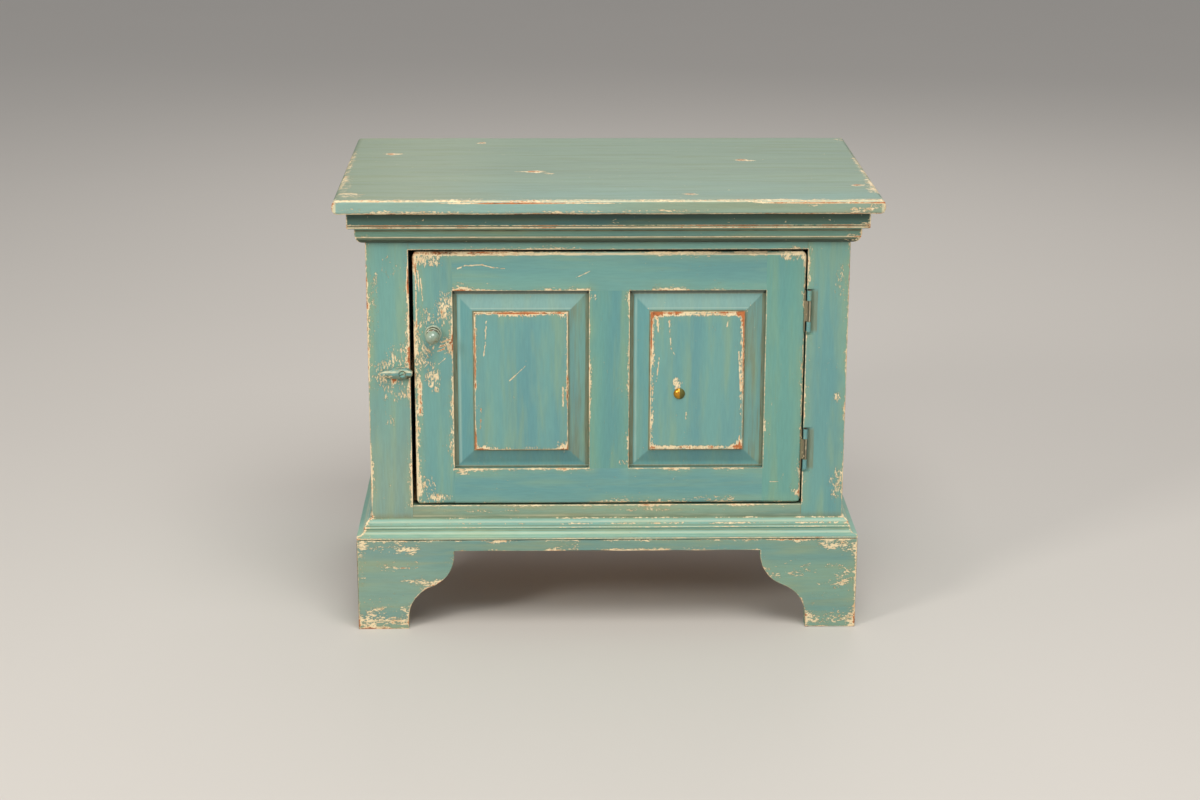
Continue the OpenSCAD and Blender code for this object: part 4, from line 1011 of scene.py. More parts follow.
# The bead and the top of the round are rubbed pale and painted paler still as highlights.
crown_pale = banded([(crown_bead + 0.1 * mm, 1.4 * mm, 1.3), (crown_foot + 8.4 * mm, 1.1 * mm, 0.8)])
crown_blue = banded([(crown_foot + 11.4 * mm, 2.4 * mm, 0.1), (crown_bead + 6 * mm, 4 * mm, 0.3)])
crown_corners = [((side * x * mm, FRONT - 12 * mm, z * mm), (rx * mm, 16 * mm, rz * mm), strength)
                 for side in (-1, 1) for x, z, rx, rz, strength in (
                     (294, 511, 22, 5, 0.4), (288, 495, 12, 4, 0.34), (286, 489, 10, 3, 0.3))]
base_foot, base_top = [corner.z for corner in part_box("base_moulding_front")]
base_wear = banded([(base_foot + 1.9 * mm, 1.1 * mm, 0.8), (base_foot + 13.2 * mm, 1.1 * mm, 0.6),
                    (base_foot + 17.4 * mm, 2.2 * mm, 0.56), (base_top - 0.4 * mm, 1.0 * mm, 0.5)])
# These pale bands are rubbed ridges, except the one low on the cove, which is a painted highlight.
base_pale = banded([(base_foot + 1.9 * mm, 1.1 * mm, 0.6), (base_foot + 13.2 * mm, 1.0 * mm, 0.5),
                    (base_foot + 6.6 * mm, 1.6 * mm, 0.35), (base_foot + 19.5 * mm, 1.5 * mm, 0.3)])
base_glaze = banded([(base_foot + 9.6 * mm, 1.6 * mm, 0.6), (base_foot + 14.9 * mm, 0.8 * mm, 0.7),
                     (base_foot + 0.1 * mm, 0.8 * mm, 1.3), (base_top, 1.6 * mm, 0.7)])


def fascia_shade(place):
    """Painted shade: darkest on the crown's fascia close under the top, and on the round at its foot."""
    z = place.split()[2]
    return z.rise(crown_bead + 2 * mm, crown_bead + 5 * mm) * 0.75 \
        + z.rise(TOP_LOW.z - 12 * mm, TOP_LOW.z - 2 * mm) * 0.45 \
        + z.rise(crown_foot + 7 * mm, crown_foot + 5 * mm)


def from_mitre(place):
    """The distance to the mitres at the two front corners."""
    x, y, z = place.split()
    return ((x.abs() - CASE_HALF) + (y - FRONT)).abs() * 0.7


crown_finish = painted("crown_paint", "xy", 15, from_mitre, band=2.5 * mm, worn=0.8, wear=crown_wear,
                       rim_line=0.4, glaze=crown_glaze_and_shadow, shade=fascia_shade, pale=crown_pale, pale_tone=CREAM,
                       blue=crown_blue, spots=crown_corners, tones=CROWN_TONES, glow=0.2)
base_finish = painted("base_paint", "xy", 25, from_mitre, band=2.5 * mm, worn=0.7, wear=base_wear,
                      rim_line=0.4, glaze=base_glaze, pale=base_pale, tones=LOW_TONES, glow=0.2, green=0.4)
for side in ("front", "left", "right"):
    give_finish("crown_moulding_" + side, crown_finish)
    give_finish("base_moulding_" + side, base_finish)
print("crown from", crown_foot, "to", crown_top, "base from", base_foot, "to", base_top)

# %% [markdown]
# ## Plinth
# The bracket feet are sawn to an ogee: an outward curve above, an inward one below. The wear has to
# follow that curve. A shader cannot ask a mesh where its edges are, so it works the distance out from
# the same two arcs that the saw followed.

# %% Plinth finish
PLINTH_LOW, PLINTH_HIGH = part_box("plinth_front")
APRON, FOOT_W = 101.5 * mm, 62 * mm
REACH, UPPER_R, LOWER_R, QUIRK = 57 * mm, 42 * mm, 45 * mm, 6 * mm
ARC_RUN = UPPER_R + LOWER_R - REACH
UPPER_Z = APRON - QUIRK
LOWER_Z = UPPER_Z - math.sqrt((UPPER_R + LOWER_R) ** 2 - ARC_RUN ** 2)
JOINT_Z = (LOWER_Z * UPPER_R + UPPER_Z * LOWER_R) / (UPPER_R + LOWER_R)


def bracket_formula(along, z, half):
    """Distance to the opening between the feet. along runs from its middle, half is its half width.

    Each line or arc of the outline counts only beside its own stretch: elsewhere it is put a metre away."""
    lower_x = half - LOWER_R
    upper_x = lower_x + ARC_RUN

    def to_arc(x, height, radius):
        return (((along - x).math("POWER", 2) + (z - height).math("POWER", 2)).math("SQRT") - radius).abs()

    edge = 0.5 * mm
    upper = to_arc(upper_x, UPPER_Z, UPPER_R) + (along - upper_x).rise(-edge, edge) \
        + z.rise(UPPER_Z - edge, UPPER_Z + edge) + z.rise(JOINT_Z + edge, JOINT_Z - edge)
    lower = to_arc(lower_x, LOWER_Z, LOWER_R) + (along - lower_x).rise(edge, -edge) \
        + z.rise(LOWER_Z + edge, LOWER_Z - edge) + z.rise(JOINT_Z - edge, JOINT_Z + edge)
    foot = (along - half).abs() + z.rise(LOWER_Z - edge, LOWER_Z + edge)
    apron = (z - APRON).abs() + (along - (half - REACH)).rise(-edge, edge)
    quirk = (along - (half - REACH)).abs() + z.rise(UPPER_Z + edge, UPPER_Z - edge) \
        + z.rise(APRON, APRON + edge)
    return [upper.least(lower).least(foot.least(apron).least(quirk))]


bracket_distance = make_group("bracket_distance", ["F:Along", "F:Height", "F:Half_width"],
                              ["F:Distance"], bracket_formula)

# %% Plinth boards
def plinth_away(along_x, middle, half):
    """The distance to a plinth board's edges, its sawn opening among them."""
    box_edges = from_edges((PLINTH_LOW.x, PLINTH_LOW.y, 0), (PLINTH_HIGH.x, REAR, PLINTH_HIGH.z))

    def formula(place):
        x, y, z = place.split()
        along = (x if along_x else y - middle).abs()
        depth = (y - PLINTH_LOW.y) if along_x else (x.abs() * -1 + PLINTH_HIGH.x)
        sawn, = use_group(place.tree, bracket_distance, along, z, half)
        return box_edges(place).least(sawn + depth.most(0) * 0.7)
    return formula


def toe_wear(place, patches):
    """Wear low on the feet, where brooms and shoes knock them."""
    z = place.split()[2]
    streaks = noise(place.squeeze(0.3, 0.3, 1), 60, 3).rise(0.5, 0.62)
    toe = z.rise(46 * mm, 4 * mm) * z.rise(1 * mm, 8 * mm) * 0.2 \
        + z.rise(26 * mm, 12 * mm) * z.rise(3 * mm, 9 * mm) * 0.26
    apron = z.rise(92 * mm, 97 * mm) * place.split()[0].abs().rise(238 * mm, 228 * mm)
    return toe + streaks * 0.3 - apron * 0.17


def faded_foot(place):
    """The left foot has faded a little more than the right one."""
    return place.split()[0].rise(-170 * mm, -240 * mm) * 0.07


def plinth_glaze(place):
    """Glaze in the seam under the base moulding."""
    z = place.split()[2]
    return z.rise(PLINTH_HIGH.z - 1.0 * mm, PLINTH_HIGH.z - 0.3 * mm) * 1.2


foot_marks = [on_front(x, z, rx, rz, strength, PLINTH_LOW.y) for x, z, rx, rz, strength in (
    (-299, 109, 9, 7, 0.36), (-262, 104, 40, 8, 0.26), (-270, 82, 30, 12, 0.2), (-238, 85, 20, 8, 0.26),
    (275, 106, 42, 8, 0.28), (252, 76, 18, 8, 0.26), (268, 42, 26, 6, 0.3), (290, 64, 14, 36, 0.22),
    (-292, 30, 14, 30, 0.2), (-120, 112, 60, 5, 0.16), (-301, 92, 7, 24, 0.28), (-300, 60, 6, 24, 0.24),
    (-249, 62, 14, 5, 0.2), (60, 103.5, 150, 3, 0.26))]
foot_scratches = [scratch(-262, 80, -243, 80, 1.5, PLINTH_LOW.y),
                  scratch(-280, 77, -262, 76, 1.1, PLINTH_LOW.y),
                  scratch(238, 79, 250, 84, 1.5, PLINTH_LOW.y), scratch(252, 60, 262, 56, 1.4, PLINTH_LOW.y),
                  scratch(262, 56, 274, 59, 1.4, PLINTH_LOW.y), scratch(276, 55, 288, 58, 1.3, PLINTH_LOW.y),
                  scratch(225, 87, 244, 90, 1.0, PLINTH_LOW.y)]
SIDE_MIDDLE = (PLINTH_LOW.y + REAR) / 2
paint_node(
    "plinth_front", "x", 31, plinth_away(True, 0, PLINTH_HIGH.x - FOOT_W), band=2.6 * mm, worn=0.85,
    wear=toe_wear, glaze=plinth_glaze, pale=faded_foot, spots=foot_marks, scratches=foot_scratches,
    tones=PLINTH_TONES, base=-0.02, green=0.45, glow=0.3)
for index, name in enumerate(("plinth_left", "plinth_right")):
    paint_node(
        name, "y", 32 + index, plinth_away(False, SIDE_MIDDLE, (REAR - PLINTH_LOW.y) / 2 - FOOT_W),
        worn=0.85, wear=toe_wear, glaze=plinth_glaze, tones=PLINTH_TONES, base=-0.03, glow=0.3)
print("plinth: marks", len(foot_marks), "scratches", len(foot_scratches))

# %% [markdown]
# ## Boards that were never painted
# The back, the floor, the shelf and the blocks behind the feet are bare pine. One material for all of
# them would be shorter, but its rings would run on from board to board, as if the cabinet were carved
# from one block. So each board gets its own, with a seed that shifts the rings.

# %% Bare wood finish
def bare_wood(name, grain, seed):
    """Pine with its rings and pores a little raised."""
    material, tree, place = blank_material(name)
    shifted = place.vector("ADD", (seed * 0.61, seed * 0.37, seed * 1.13))
    colour, rings, pores = pine(shifted, grain)
    set_surface(tree, colour, pores * 0.15 + 0.62, rings * 0.3 + pores * 0.4, depth=0.25 * mm)
    return material


bare_nodes = {"x": ["back_rail", "cabinet_floor", "shelf", "door_stop", "rear_foot_left", "rear_foot_right"],
              "y": ["top_cleat_left", "top_cleat_right", "floor_cleat_left", "floor_cleat_right",
                    "shelf_cleat_left", "shelf_cleat_right"],
              "z": ["back_board_1", "back_board_2", "back_board_3", "back_board_4",
                    "corner_block_front_left", "corner_block_front_right",
                    "corner_block_rear_left", "corner_block_rear_right"]}
for grain, names in bare_nodes.items():
    for index, name in enumerate(names):
        give_finish(name, bare_wood(name + "_wood", grain, 40 + index * 3 + len(name)))
print("bare wood on", sum(len(names) for names in bare_nodes.values()), "nodes")

# %% [markdown]
# ## Metal
# The hinges were painted with the cabinet. Their end knuckles kept the paint, and the middle one has
# worn brown where it rubs. The screws are dull steel. The brass stud is bright on one half, lit from
# the left, and tarnished green on the other, which is darkened as painted shade. A metal shows what
# stands round it, so in a pale studio its colour has to come from its own tarnish and rust as much as
# from the shine.

# %% Metal finishes
STEEL, RUST = srgb(118, 110, 100), srgb(120, 76, 44)
BRASS, TARNISH_AND_SHADE = srgb(206, 148, 52), srgb(104, 100, 46)


def worn_steel(name, seed):
    """Dull steel, scratched along z and rusting in spots."""
    material, tree, place = blank_material(name)
    shifted = place.vector("ADD", (seed, 0, 0))
    rust = noise(shifted, 260, 5, 0.65).rise(0.5, 0.68)
    scratched = noise(shifted.squeeze(1, 1, 0.15), 900, 2)
    colour = mix(rust, mix(scratched * 0.5, STEEL, srgb(86, 80, 72)), RUST)
    set_surface(tree, colour, rust * 0.3 + 0.38, rust * 0.5 + scratched * 0.2, metallic=rust * -0.9 + 0.9)
    return material


def brass(name, middle_x):
    """Brass lit on the left of middle_x; tarnished and in painted shade to the right of it."""
    material, tree, place = blank_material(name)
    x, y, z = place.split()
    side = ((x - middle_x) + (noise(place, 400, 3) - 0.5) * (3 * mm)).rise(-0.6 * mm, 1.2 * mm)
    spots = noise(place, 900, 4).rise(0.55, 0.7)
    colour = mix(side, BRASS, TARNISH_AND_SHADE)
    colour = mix(spots * 0.5, colour, srgb(70, 58, 30))
    set_surface(tree, colour, side * 0.3 + 0.3, spots * 0.4, metallic=side * -0.5 + 0.95)
    return material


def knuckle_streaks(place):
    """Dark lines that the pin's grease has drawn down the middle knuckle."""
    x, y, z = place.split()
    drift = (noise(place.squeeze(0, 0, 1), 160, 2) - 0.5) * (1.6 * mm)
    return (x - HINGE_X + drift).near(-0.9 * mm, 1.5 * mm) * 2.0 \
        + x.near(HINGE_X + 2.3 * mm, 1.1 * mm) * 1.6 \
        + x.rise(HINGE_X - 2.4 * mm, HINGE_X - 3.1 * mm) * 0.7


def knuckle_pale(place):
    """Bright metal showing between those lines, and a painted highlight down the knuckle."""
    x, y, z = place.split()
    return x.near(HINGE_X + 0.8 * mm, 1.1 * mm) \
        * noise(place.squeeze(1, 1, 0.3), 420, 2).rise(0.4, 0.6) * 0.6


HINGE_X = (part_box("hinge_pin_upper")[0].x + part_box("hinge_pin_upper")[1].x) / 2
for level in ("upper", "lower"):
    low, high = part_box("hinge_frame_leaf_" + level)
    middle = (low.z + high.z) / 2
    seams = banded([(middle - 12.7 * mm, 1 * mm, 1.0), (middle + 12.7 * mm, 1 * mm, 1.0)])
    paint_node("hinge_frame_leaf_" + level, "z", 50, glaze=seams, base=0.12)
    paint_node("hinge_door_leaf_" + level, "z", 51, tones=HINGE_TONES, green=0.9, base=0.16, gloss=0.38,
               glaze=knuckle_streaks, pale=knuckle_pale)
    give_finish("hinge_pin_" + level, worn_steel(f"hinge_pin_{level}_steel", 51))
for name in ("hinge_frame_screws", "hinge_door_screws", "top_screws", "knob_bolt"):
    give_finish(name, worn_steel(name + "_steel", 52 + len(name)))
give_finish("brass_stud", brass("stud_brass", stud_middle.x))
print("hinge line at x", HINGE_X, "stud at x", stud_middle.x)

# %% [markdown]
# ## Knob and turn button
# Both are wood under the same paint, but thumbs have polished the knob till it shines, and the turn
# button was whittled with a knife. The knob's grooves are measured from the door's face, and the
# distance from its axis keeps their grime off the rings beside them.

# %% Knob, turn button and its screw
def knob_grime_and_shade(place):
    """Grime in the two grooves, and painted shade on the head's lower right, away from the light."""
    x, y, z = place.split()
    out = ((x - KNOB.x).math("POWER", 2) + (z - KNOB.z).math("POWER", 2)).math("SQRT")
    depth_in = y * -1 + FRONT
    first = depth_in.rise(2.3 * mm, 2.9 * mm) * depth_in.rise(8.0 * mm, 7.4 * mm) \
        * out.rise(9.3 * mm, 8.5 * mm)
    second = depth_in.rise(9.9 * mm, 10.5 * mm) * depth_in.rise(14.5 * mm, 13.4 * mm) \
        * out.rise(8.7 * mm, 7.9 * mm)
    grooves = (first + second) * 1.25
    low = (z - KNOB.z - (x - KNOB.x) * 0.5).rise(5 * mm, -5 * mm) * y.rise(FRONT - 12 * mm, FRONT - 14 * mm)
    return grooves + low * (noise(place, 420, 3).rise(0.4, 0.58) * 0.6 + 0.3)


def knob_pale(place):
    """The two rings, rubbed pale and painted paler as their highlight."""
    y = place.split()[1]
    return y.near(FRONT - 9.2 * mm, 1.3 * mm) * 0.9 + y.near(FRONT - 1.8 * mm, 1.2 * mm) * 0.6


knob_chips = [((KNOB.x + x * mm, FRONT - y * mm, KNOB.z + z * mm), (rx * mm, 5 * mm, rz * mm), strength)
              for x, y, z, rx, rz, strength in (
                  (-1, 17, 8, 8, 3.4, 0.75), (-1, 18, 8.3, 3, 1.4, 0.8), (4, 24, -3, 4, 5, 0.3),
                  (0, 2, -8, 9, 4, 0.4), (-6, 22, 2, 3, 3, 0.3))]


def button_shade_and_grime(place):
    """Painted shade on the lower side, and grime in the whittled hollows."""
    x, y, z = place.split()
    hollows = noise(place.squeeze(0.5, 1, 1), 260, 3, 0.6).rise(0.48, 0.62)
    return (z - PIVOT.z).rise(1 * mm, -5 * mm) * 0.55 + hollows * 0.75


def button_pale(place):
    """The ridge along the button's upper side, rubbed pale and painted paler as a highlight."""
    x, y, z = place.split()
    ridge = (z - PIVOT.z - 3 * mm).near(0, 2.6 * mm) * y.rise(FRONT - 4 * mm, FRONT - 7 * mm)
    return ridge * noise(place.squeeze(0.4, 1, 1), 200, 2).rise(0.4, 0.6) * 0.8


def slot_grime(place):
    """Grime at the bottom of the screw's slot."""
    return place.split()[1].rise(FRONT - 7.6 * mm, FRONT - 7 * mm)


BUTTON_LOW, BUTTON_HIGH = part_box("turn_button")
tip_spot = ((BUTTON_LOW.x + 8 * mm, FRONT - 8 * mm, PIVOT.z - 2 * mm), (10 * mm, 9 * mm, 4 * mm), 0.4)
give_finish("door_knob", painted(
    "knob_paint", "y", 60, glaze=knob_grime_and_shade, pale=knob_pale, spots=knob_chips, tones=KNOB_TONES,
    green=0.7, base=-0.02, gloss=0.2, coat=0.8))
give_finish("turn_button", painted(
    "button_paint", "x", 61, from_edges(tuple(BUTTON_LOW), tuple(BUTTON_HIGH)), band=2 * mm, worn=0.6,
    glaze=button_shade_and_grime, pale=button_pale, base=0.12, green=0.8, spots=[tip_spot]))
give_finish("turn_button_screw", painted(
    "button_screw_paint", "x", 62, base=0.2, green=0.7, glaze=slot_grime))
print("materials:", len(bpy.data.materials))

# %% [markdown]
# ## Edges that hands and brooms have worn
# CAD boards have sharp, straight arrises. On the real cabinet every arris is a little round and not
# quite straight. For the boards where that shows, a copy of the CAD mesh is cut across into short
# lengths, its arrises are rounded by a Bevel modifier, and a small Geometry Nodes tree pushes the
# points inwards by an uneven amount. Pushing only inwards keeps the board inside its CAD shape.

# %% Geometry Nodes: uneven wear
def geometry_tree(name, floats):
    """A Geometry Nodes tree with a geometry input, named number inputs and a material input."""
    tree = bpy.data.node_groups.new(name, "GeometryNodeTree")
    tree.is_modifier = True
    tree.interface.new_socket(name="Geometry", in_out="INPUT", socket_type="NodeSocketGeometry")
    for label in floats:
        tree.interface.new_socket(name=label, in_out="INPUT", socket_type="NodeSocketFloat")
    tree.interface.new_socket(name="Finish", in_out="INPUT", socket_type="NodeSocketMaterial")
    tree.interface.new_socket(name="Geometry", in_out="OUTPUT", socket_type="NodeSocketGeometry")
    return tree, tree.nodes.new("NodeGroupInput"), tree.nodes.new("NodeGroupOutput")


def chain(tree, *steps):
    """Links geometry through nodes, from the first to the last."""
    for before, after in zip(steps, steps[1:]):
        tree.links.new(before.outputs["Geometry"] if "Geometry" in before.outputs else before.outputs[0],
                       after.inputs[0])


def finish_tree(tree, last, entry, exit_node):
    """Every tree ends the same way: real geometry, one material."""
    realize = tree.nodes.new("GeometryNodeRealizeInstances")
    paint = tree.nodes.new("GeometryNodeSetMaterial")
    tree.links.new(entry.outputs["Finish"], paint.inputs["Material"])
    chain(tree, last, realize, paint, exit_node)
    print("tree", tree.name, "nodes:", len(tree.nodes))


uneven, entry, leave = geometry_tree("uneven_wear", ["Depth", "Scale", "Seed"])
where = Field(uneven, uneven.nodes.new("GeometryNodeInputPosition").outputs[0])
outwards = Field(uneven, uneven.nodes.new("GeometryNodeInputNormal").outputs[0])
depth, scale, seed = [Field(uneven, entry.outputs[label]) for label in ("Depth", "Scale", "Seed")]
lumps = noise(where.vector("ADD", join(uneven, seed, seed, seed)), scale, 2)
set_back = uneven.nodes.new("GeometryNodeSetPosition")
connect(uneven, outwards.vector("MULTIPLY", lumps.rise(0.3, 0.7) * depth * -1), set_back.inputs["Offset"])
uneven.links.new(entry.outputs["Geometry"], set_back.inputs["Geometry"])
finish_tree(uneven, set_back, entry, leave)

# %% [markdown]
# The finished model holds plain meshes, with no modifiers left on them. So each piece is made on a
# holder, an object that carries the modifiers, and its evaluated mesh is copied out before the holder
# is thrown away.


def body_of_node(node):
    """The moving body that a CAD node belongs to."""
    return next(body for body, nodes in frame["record"]["behaviour"]["bodies"].items() if node in nodes)


def as_piece(holder, name, body, close=False):
    """Turns an object with modifiers into a plain mesh piece on a body. close shuts its open ends."""
    bpy.context.view_layer.update()
    evaluated = holder.evaluated_get(bpy.context.evaluated_depsgraph_get())
    mesh = bpy.data.meshes.new_from_object(evaluated)
    bpy.data.objects.remove(holder)
    if close:
        shape = bmesh.new()
        shape.from_mesh(mesh)
        bmesh.ops.remove_doubles(shape, verts=shape.verts, dist=0.002 * mm)
        bmesh.ops.holes_fill(shape, edges=shape.edges, sides=0)
        bmesh.ops.recalc_face_normals(shape, faces=shape.faces)
        shape.to_mesh(mesh)
        shape.free()
        mesh.polygons.foreach_set("use_smooth", [True] * len(mesh.polygons))
        mesh.set_sharp_from_angle(angle=math.radians(35))
    mesh.name = name
    piece = bpy.data.objects.new(name, mesh)
    bpy.context.scene.collection.objects.link(piece)
    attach(piece, body)
    return piece


def with_tree(holder, tree, finish, **numbers):
    """Adds a Geometry Nodes modifier and sets its inputs by their identifiers."""
    modifier = holder.modifiers.new(tree.name, "NODES")
    modifier.node_group = tree
    for item in tree.interface.items_tree:
        if item.in_out == "INPUT" and item.name in numbers:
            modifier[item.identifier] = float(numbers[item.name])
        elif item.in_out == "INPUT" and item.name == "Finish":
            modifier[item.identifier] = finish


# %% [markdown]
# A door's outline is rubbed rounder than the rims of its openings, and where two boards of it meet
# there is no arris at all. One angle limit for the Bevel modifier cannot tell those apart. So each
# edge of the copy gets a weight of its own, from where it lies.

# %% Worn copies of the boards
def rim_weight(middle):
    """How round a front arris is: most on the door's outline, less on an opening's rim, none in a joint."""
    x, y, z = middle
    if y > FRONT + 0.1 * mm:
        return 0.0
    touch = 0.05 * mm
    corner = 7.2 * mm
    outline = (abs(x - DOOR_LOW.x) < touch or abs(x - DOOR_HIGH.x) < touch
               or abs(z - DOOR_LOW.z) < touch or abs(z - DOOR_HIGH.z) < touch)
    near_x = min(abs(x - DOOR_LOW.x), abs(x - DOOR_HIGH.x)) < corner
    near_z = min(abs(z - DOOR_LOW.z), abs(z - DOOR_HIGH.z)) < corner
    if DOOR_LOW.x - touch < x < DOOR_HIGH.x + touch and DOOR_LOW.z - touch < z < DOOR_HIGH.z + touch:
        if outline or (near_x and near_z):
            return 1.0
    for x0, x1, z0, z1 in ((STILE_X0, MUNTIN_X0, PANEL_Z0, PANEL_Z1),
                           (MUNTIN_X1, STILE_X1, PANEL_Z0, PANEL_Z1),
                           (OPENING_X0, OPENING_X1, OPENING_Z0, OPENING_Z1)):
        upright = min(abs(x - x0), abs(x - x1)) < touch and z0 - touch < z < z1 + touch
        level = min(abs(z - z0), abs(z - z1)) < touch and x0 - touch < x < x1 + touch
        if upright or level:
            return 0.4
    return 0.0


def cut_planes(node, cuts, pitch):
    """Planes across a node's box, a pitch apart along the axis that cuts names."""
    low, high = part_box(node)
    axis = "xyz".index(cuts)
    return [(axis, low[axis] + step * pitch) for step in range(1, int((high[axis] - low[axis]) / pitch))]


def worn_copy(node, radius, depth, planes=(), weight=None, scale=26, press=None):
    """A piece that replaces a CAD node: cut along planes, rounded by radius and worn by depth."""
    source = frame["nodes"][node].data
    shape = bmesh.new()
    shape.from_mesh(source)
    bmesh.ops.remove_doubles(shape, verts=shape.verts, dist=0.002 * mm)
    bmesh.ops.dissolve_limit(shape, angle_limit=math.radians(0.3), verts=shape.verts, edges=shape.edges)
    for axis, value in planes:
        middle, normal = [0.0] * 3, [0.0] * 3
        middle[axis], normal[axis] = value, 1.0
        bmesh.ops.bisect_plane(shape, geom=shape.verts[:] + shape.edges[:] + shape.faces[:],
                               dist=0.001 * mm, plane_co=middle, plane_no=normal)
    if press is not None:
        for vertex in shape.verts:
            vertex.co = press(vertex.co)
    if weight is not None:
        layer = shape.edges.layers.float.new("bevel_weight_edge")
        for edge in shape.edges:
            edge[layer] = weight((edge.verts[0].co + edge.verts[1].co) / 2)
    mesh = bpy.data.meshes.new(node + "_copy")
    shape.to_mesh(mesh)
    shape.free()
    mesh.materials.append(source.materials[0])
    mesh.polygons.foreach_set("use_smooth", [True] * len(mesh.polygons))
    mesh.set_sharp_from_angle(angle=math.radians(38))
    holder = bpy.data.objects.new(node + "_copy", mesh)
    bpy.context.scene.collection.objects.link(holder)
    bevel = holder.modifiers.new("arris", "BEVEL")
    bevel.width, bevel.segments = radius, 2
    bevel.limit_method, bevel.angle_limit = "ANGLE", math.radians(40)
    if weight is not None:
        bevel.limit_method, bevel.segments = "WEIGHT", 3
    bevel.use_clamp_overlap = True
    if depth:
        with_tree(holder, uneven, source.materials[0], Depth=depth, Scale=scale, Seed=len(node))
    normals = holder.modifiers.new("normals", "WEIGHTED_NORMAL")
    normals.keep_sharp = False
    piece = as_piece(holder, node + "_worn", body_of_node(node))
    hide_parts(node)
    print(node, "faces:", len(piece.data.polygons))
    return piece


CUT_PITCH = 14 * mm
for node, radius, depth, cuts in (
        ("plinth_front", 1.0, 0.9, "x"), ("plinth_left", 1.0, 0.9, "y"), ("plinth_right", 1.0, 0.9, "y"),
        ("door_panel_left", 0.6, 0, None), ("door_panel_right", 0.6, 0, None),
        ("side_board_left", 0.9, 0, None), ("side_board_right", 0.9, 0, None),
        ("back_board_1", 0.8, 0, None), ("back_board_2", 0.8, 0, None), ("back_board_3", 0.8, 0, None),
        ("back_board_4", 0.8, 0, None), ("rear_foot_left", 1.2, 0, None), ("rear_foot_right", 1.2, 0, None),
        ("shelf", 1.0, 0, None)):
    worn_copy(node, radius * mm, depth * mm, cut_planes(node, cuts, CUT_PITCH) if cuts else ())

# %% [markdown]
# The top's two ends and the turn button need more than a bevel. The top is cut into layers, and into
# thin slices at its ends, and each point outside a round of 8.2 mm moves in to it. The button is cut
# into cells of 1.8 mm, which give the uneven wear enough points to look whittled. The door's frame is
# cut along the lines where its boards meet, so that each length of arris can have its own roundness.

# %% The top board, the turn button and the door's frame
END_ROUND = 8.2


def worn_ends(place):
    """The top's two ends are worn to a fuller round than the front: points outside it move in to it."""
    x, y, z = place
    round_r = END_ROUND * mm
    middle = (TOP_LOW.z + TOP_HIGH.z) / 2
    inward = TOP_HIGH.x - abs(x)
    upright = (TOP_HIGH.z - TOP_LOW.z) / 2 - abs(z - middle)
    across, up = round_r - inward, round_r - upright
    far = math.hypot(across, up)
    if across <= 0 or up <= 0 or far <= round_r:
        return Vector(place)
    share = round_r / far
    return Vector((math.copysign(TOP_HIGH.x - round_r + across * share, x), y,
                   middle + math.copysign((TOP_HIGH.z - TOP_LOW.z) / 2 - round_r + up * share, z - middle)))


top_planes = [(2, TOP_LOW.z + step * mm) for step in (5.4, 6.9, 8.75, 10.6, 12.1)] \
    + [(0, side * (TOP_HIGH.x - step * mm)) for side in (-1, 1) for step in (2, 3, 5.2, 6.6, END_ROUND)]
worn_copy("top_board", 0.5 * mm, 0.5 * mm, top_planes + cut_planes("top_board", "x", CUT_PITCH),
          press=worn_ends)

BUTTON_PITCH = 1.8 * mm
button_planes = [(2, BUTTON_LOW.z + step * BUTTON_PITCH) for step in range(1, 8)]
worn_copy("turn_button", 0.8 * mm, 1.3 * mm,
          button_planes + cut_planes("turn_button", "x", BUTTON_PITCH), scale=170)
front_planes = [(0, x) for x in (STILE_X0, MUNTIN_X0, MUNTIN_X1, STILE_X1, OPENING_X0, OPENING_X1)] \
    + [(2, z) for z in (PANEL_Z0, PANEL_Z1, OPENING_Z0, OPENING_Z1)]
for node in ("door_stile_left", "door_stile_right", "door_rail_top", "door_rail_bottom", "door_muntin",
             "frame_rail_top", "frame_rail_bottom"):
    worn_copy(node, 2.2 * mm, 0, front_planes, weight=rim_weight)

# %% [markdown]
# ## Turning the knob
# A knob is turned on a lathe, so half of its outline is enough: a foot, a groove, a ring, a second
# groove and a round head. The Spin tool could carry that line round the knob's axis, but it leaves its
# faces in another order each time. So each point of the line becomes a ring of points here, and faces
# join each ring to the next. A point on the axis is a ring of one, so the faces there are triangles.
# The solid has the same members, but the turner's grooves are deeper and the head is a little smaller.

# %% Knob
def arc(x, z, radius, start, end, steps=8):
    """Points of an arc of a profile, in mm and degrees."""
    turns = [math.radians(start + (end - start) * step / steps) for step in range(steps + 1)]
    return [(x + radius * math.cos(turn), z + radius * math.sin(turn)) for turn in turns]


knob_profile = [(0, 0), (9.9, 0)] + arc(9.0, 1.5, 1.4, -70, 90) \
    + [(8.0, 3.1), (7.0, 3.5), (6.4, 4.2), (6.1, 5.3), (6.3, 6.4), (6.9, 7.3), (7.3, 7.7)] \
    + arc(7.6, 9.2, 1.4, -90, 90) + [(6.9, 10.9), (6.2, 11.4), (6.1, 12.0), (6.4, 12.6)] \
    + [(8.5 * math.cos(math.radians(t)), 19.5 + 8.5 * math.sin(math.radians(t))) for t in range(-42, 90, 6)] \
    + [(0, 28)]
KNOB_STEPS = 56
points, faces, rings = [], [], []
for r, q in knob_profile:
    turns = [math.tau * step / KNOB_STEPS for step in range(KNOB_STEPS if r else 1)]
    rings.append([len(points) + step % len(turns) for step in range(KNOB_STEPS + 1)])
    points += [(KNOB.x + r * mm * math.cos(turn), FRONT - q * mm, KNOB.z + r * mm * math.sin(turn))
               for turn in turns]
for near, far in zip(rings, rings[1:]):
    for step in range(KNOB_STEPS):
        corners = (near[step], near[step + 1], far[step + 1], far[step])
        faces.append(list(dict.fromkeys(corners)))
knob_mesh = bpy.data.meshes.new("knob_turned")
knob_mesh.from_pydata(points, [], faces)
knob_mesh.materials.append(frame["nodes"]["door_knob"].data.materials[0])
